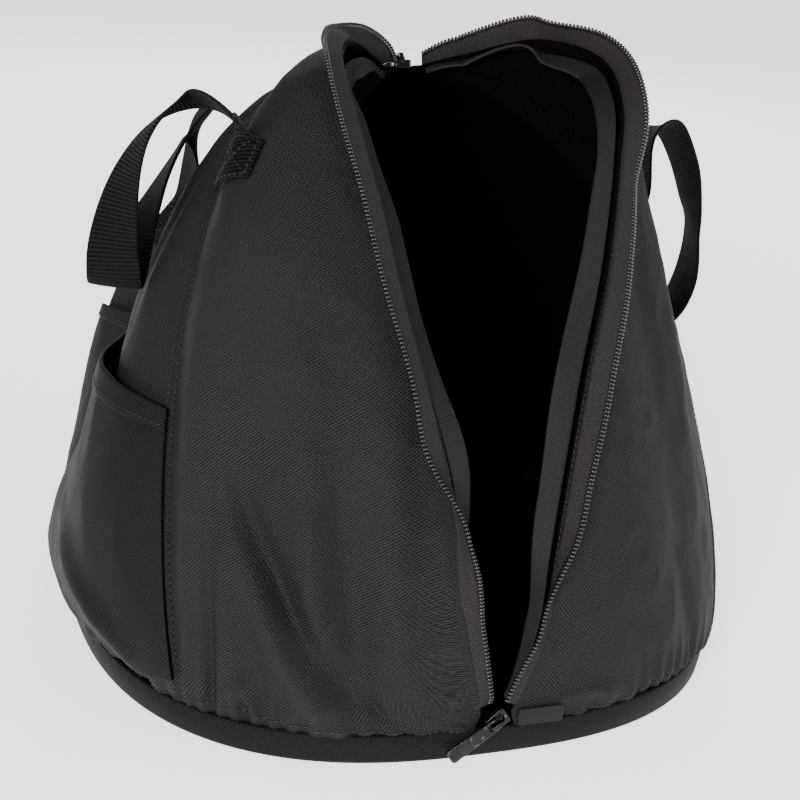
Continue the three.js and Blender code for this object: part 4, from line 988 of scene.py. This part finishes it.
def handleRows(word, side):
    lift = handle["thickness"] / 2 + handle["gap"]
    places = []

    def sewn(foot):
        panel = panels[foot[0]]
        rows = []
        for up in np.linspace(foot[2], foot[3], 3):
            a, u = np.array([foot[1]]), np.array([up])
            forward, normal, _ = clothFrame(panel, a, u)
            rows.append((barePoint(panel, a, u)[0] + normal[0] * lift, forward[0], panel, foot[1], up))
        return rows

    places += sewn(handle["feet"][word][0])
    for across, deep, high, yaw, dip in handle[word]:
        yaw, dip = math.radians(yaw), math.radians(dip)
        width = np.array([math.cos(yaw) * math.cos(dip), math.sin(yaw) * math.cos(dip), -math.sin(dip)])
        places.append((placed([(across, deep, high)], side)[0], width, None, 0, 0))
    places += sewn(handle["feet"][word][1])[::-1]
    spans, turns = len(places) - 1, handle["turns"]
    steps = spans * turns
    path = smoothCurve([p[0] for p in places], steps + 1)
    runs = unit(np.gradient(path, axis=0))
    rows, widths = [], []
    previous = None
    for step in range(steps + 1):
        index = min(step // turns, spans - 1)
        part = step / turns - index
        before, after = places[index], places[index + 1]
        turned = after[1] * (-1 if before[1] @ after[1] < 0 else 1)
        width = before[1] * (1 - part) + turned * part
        width = unit(width - runs[step] * (width @ runs[step]))
        if previous is not None and previous @ width < 0:
            width = -width
        previous = width
        widths.append(width)
    widths = np.array(widths)
    soft = widths.copy()
    for _ in range(handle["softenings"]):
        soft[1:-1] = unit(soft[:-2] + 2 * soft[1:-1] + soft[2:])
    across = np.linspace(-1, 1, handle["columns"] + 1)
    for step in range(steps + 1):
        index = min(step // turns, spans - 1)
        part = step / turns - index
        before, after = places[index], places[index + 1]
        if before[2] is not None and after[2] is not None:
            up = before[4] * (1 - part) + after[4] * part
            moves = across[:, None] * widths[step] * handle["width"] / 2
            rows.append(pointOver(before[2], before[3], up, moves, lift))
        else:
            facing = np.cross(soft[step], runs[step])
            curl = (across[:, None] ** 2) * facing * handle["curl"]
            rows.append(path[step] + across[:, None] * soft[step] * handle["width"] / 2 - curl)
    rows = np.array(rows)
    loose = slice(handle["easeFrom"], -handle["easeFrom"])
    for _ in range(handle["easings"]):
        rows[1:-1][loose] = ((rows[:-2] + 2 * rows[1:-1] + rows[2:]) / 4)[loose]
    return rows


def makeHandle(word, side):
    rows = handleRows(word, side)
    length, columns = rows.shape[0] - 1, rows.shape[1] - 1

    def place(across, along):
        return rows[np.rint(along * length).astype(int), np.rint(across * columns).astype(int)]

    mesh = surfaceGrid(f"webbing_{word}", columns, length, place,
                       lambda across, along: (side, 0, 0.2), band=True)
    return finishPiece(f"webbing_{word}", mesh, [webbingRib], [f"handle_{word}"],
                       wall=handle["thickness"], inside=0, levels=1), rows


handles = {word: makeHandle(word, side) for word, side in (("left", left), ("right", right))}
print("handles made")


# Lengths of thread in metres: how far a stitch shows, the gap to the next and its thickness.
# The insets are from the base seam, the side seams and the rim.
stitch = {"seam": (2.6 * mm, 0.9 * mm, 0.55 * mm), "hem": (2.6 * mm, 0.9 * mm, 0.5 * mm),
          "patch": (2.4 * mm, 0.7 * mm, 0.7 * mm), "sides": 6, "rings": 5,
          "baseInset": 7 * mm, "sideInset": 6 * mm, "rimInset": 4 * mm, "steps": 160, "rimSteps": 200,
          "lift": 0.25 * mm, "hemLift": 0.45 * mm, "hemPlace": 0.02, "patchLift": 0.2 * mm,
          "patchSteps": 20}


# Rows of stitches: short thread lengths lying along a line on the cloth
def makeStitches(name, runs, length, gap, thick):
    centres, axes = [], []
    for points, normals in runs:
        shares = lengthShares(points)
        total = np.linalg.norm(np.diff(points, axis=0), axis=1).sum()
        count = max(int(total / (length + gap)), 1)
        share = (np.arange(count) + 0.5) / count
        half = length / total / 2
        run = unit(alongCurve(points, shares, np.minimum(share + half, 1))
                   - alongCurve(points, shares, np.maximum(share - half, 0)))
        sideways = unit(np.cross(alongCurve(normals, shares, share), run))
        face = np.cross(run, sideways)
        centres.append(alongCurve(points, shares, share))
        axes.append(np.stack([run * length, sideways * thick, face * thick], -1) / 2)
    mesh = repeatShape(name, np.concatenate(centres), np.concatenate(axes), stitch["sides"], stitch["rings"])
    return finishPiece(name, mesh, [threadNylon], [])


def seamRun(panel, alongs, ups):
    return clothPoint(panel, alongs, ups, lift=stitch["lift"]), clothFrame(panel, alongs, ups)[1]


seamRuns = []
for panel in panels.values():
    span = np.linspace(0.02, 0.98, stitch["steps"])
    seamRuns.append(seamRun(panel, span, np.full(len(span), stitch["baseInset"] / panel["high"])))
    climb = np.linspace(0.03, 0.97, stitch["steps"])
    inset = stitch["sideInset"] / panel["wide"]
    if "before" in panel:
        seamRuns.append(seamRun(panel, np.full(len(climb), inset), climb))
    if "after" in panel:
        seamRuns.append(seamRun(panel, np.full(len(climb), 1 - inset), climb))
for key in ("frontLeft", "frontRight"):
    span = np.linspace(0.02, 0.98, stitch["rimSteps"])
    rimInset = stitch["rimInset"] / panels[key]["high"]
    seamRuns.append(seamRun(panels[key], span, np.full(len(span), 1 - rimInset)))
makeStitches("seam_stitches", seamRuns, *stitch["seam"])
hemLine = np.linspace(0.01, 0.99, stitch["steps"])
hemPoints = pocketPoint(hemLine, np.full(len(hemLine), hemShare + stitch["hemPlace"]),
                        pocket["hemThickness"] + stitch["hemLift"])
hemNormals = np.tile([-1.0, -0.3, 0.3], (len(hemLine), 1))
makeStitches("pocket_stitches", [(hemPoints, hemNormals)], *stitch["hem"])


def boxStitch(rows, first, last):
    part = rows[first:last + 1]
    normals = unit(np.cross(np.gradient(part, axis=0).reshape(-1, 3),
                            np.gradient(part, axis=1).reshape(-1, 3))).reshape(part.shape)
    if (normals[:, :, 0] * np.sign(part[:, :, 0])).mean() < 0:
        normals = -normals
    top = part + normals * (handle["thickness"] / 2 + stitch["patchLift"])
    columns = part.shape[1] - 1
    low, high = 1, columns - 1
    count = part.shape[0] - 1
    lines = []

    def line(a, b):
        steps = np.linspace(0, 1, stitch["patchSteps"])
        r = np.rint(a[0] + (b[0] - a[0]) * steps).astype(int)
        c = a[1] + (b[1] - a[1]) * steps
        c0 = np.floor(c).astype(int)
        c1 = np.minimum(c0 + 1, columns)
        w = (c - c0)[:, None]
        lines.append((top[r, c0] * (1 - w) + top[r, c1] * w, normals[r, c0]))

    corners = [(0, low), (0, high), (count, high), (count, low)]
    for a, b in zip(corners, corners[1:] + corners[:1]):
        line(a, b)
    line(corners[0], corners[2])
    line(corners[1], corners[3])
    return lines


patchRuns = []
for word, (_, rows) in handles.items():
    reach = 2 * handle["turns"] - 2
    patchRuns += boxStitch(rows, 1, reach)
    patchRuns += boxStitch(rows, len(rows) - 1 - reach, len(rows) - 2)
makeStitches("patch_stitches", patchRuns, *stitch["patch"])
print("stitches made")

# Stage: pale floor, soft light and the camera at the photograph's angle
stage = {"floor": "#fafafa", "sky": "#ffffff", "skyStrength": 0.4, "glow": 1.5, "floorReach": 30}
bm = bmesh.new()
bmesh.ops.create_grid(bm, x_segments=1, y_segments=1, size=stage["floorReach"])
floorMesh = bpy.data.meshes.new("floor")
bm.to_mesh(floorMesh)
bm.free()
floor = bpy.data.objects.new("floor", floorMesh)
bpy.context.scene.collection.objects.link(floor)
floorPaint, _, floorShader = newMaterial("matt_studio_paper", 0.9, 0.2, stage["floor"])
floorShader.inputs["Emission Color"].default_value = toLinear(stage["floor"])
floorShader.inputs["Emission Strength"].default_value = stage["glow"]
floorMesh.materials.append(floorPaint)

world = bpy.data.worlds.new("studio")
world.use_nodes = True
bpy.context.scene.world = world
sky = world.node_tree.nodes["Background"]
sky.inputs["Color"].default_value = toLinear(stage["sky"])
sky.inputs["Strength"].default_value = stage["skyStrength"]

lights = {
    "key": {"place": (-1.2, -1.7, 0.95), "aim": (0, 0, 0.15), "size": 0.7, "power": 66,
            "colour": "#fff8f3"},
    "fill": {"place": (1.7, -1.1, 0.8), "aim": (0, 0, 0.15), "size": 1.0, "power": 22,
             "colour": "#eef1ff"},
    "rear": {"place": (0.6, 1.8, 1.2), "aim": (0, 0, 0.15), "size": 1.0, "power": 18,
             "colour": "#ffffff"},
}
for name, light in lights.items():
    lamp = bpy.data.lights.new(name, "AREA")
    lamp.size, lamp.energy = light["size"], light["power"]
    lamp.color = toLinear(light["colour"])[:3]
    lampObject = bpy.data.objects.new(name, lamp)
    lampObject.location = light["place"]
    aim = Vector(light["aim"]) - Vector(light["place"])
    lampObject.rotation_euler = aim.to_track_quat("-Z", "Y").to_euler()
    bpy.context.scene.collection.objects.link(lampObject)

camera = {"azimuth": -20.5, "elevation": 20.0, "roll": 4.3, "distance": 0.92, "aim": (0.009, 0, 0.116),
          "lens": 72.54, "sensor": 36}
azimuth, elevation, roll = [math.radians(camera[key]) for key in ("azimuth", "elevation", "roll")]
back = Vector((math.sin(azimuth) * math.cos(elevation), -math.cos(azimuth) * math.cos(elevation),
               math.sin(elevation)))
level = (-back).cross(Vector((0, 0, 1))).normalized()
upright = level.cross(-back)
across = level * math.cos(roll) + upright * math.sin(roll)
upward = upright * math.cos(roll) - level * math.sin(roll)
lens = bpy.data.cameras.new("camera")
lens.lens, lens.sensor_width = camera["lens"], camera["sensor"]
eye = bpy.data.objects.new("camera", lens)
eye.matrix_world = (Matrix.Translation(Vector(camera["aim"]) + back * camera["distance"])
                    @ Matrix((across, upward, back)).transposed().to_4x4())
bpy.context.scene.collection.objects.link(eye)
bpy.context.scene.camera = eye
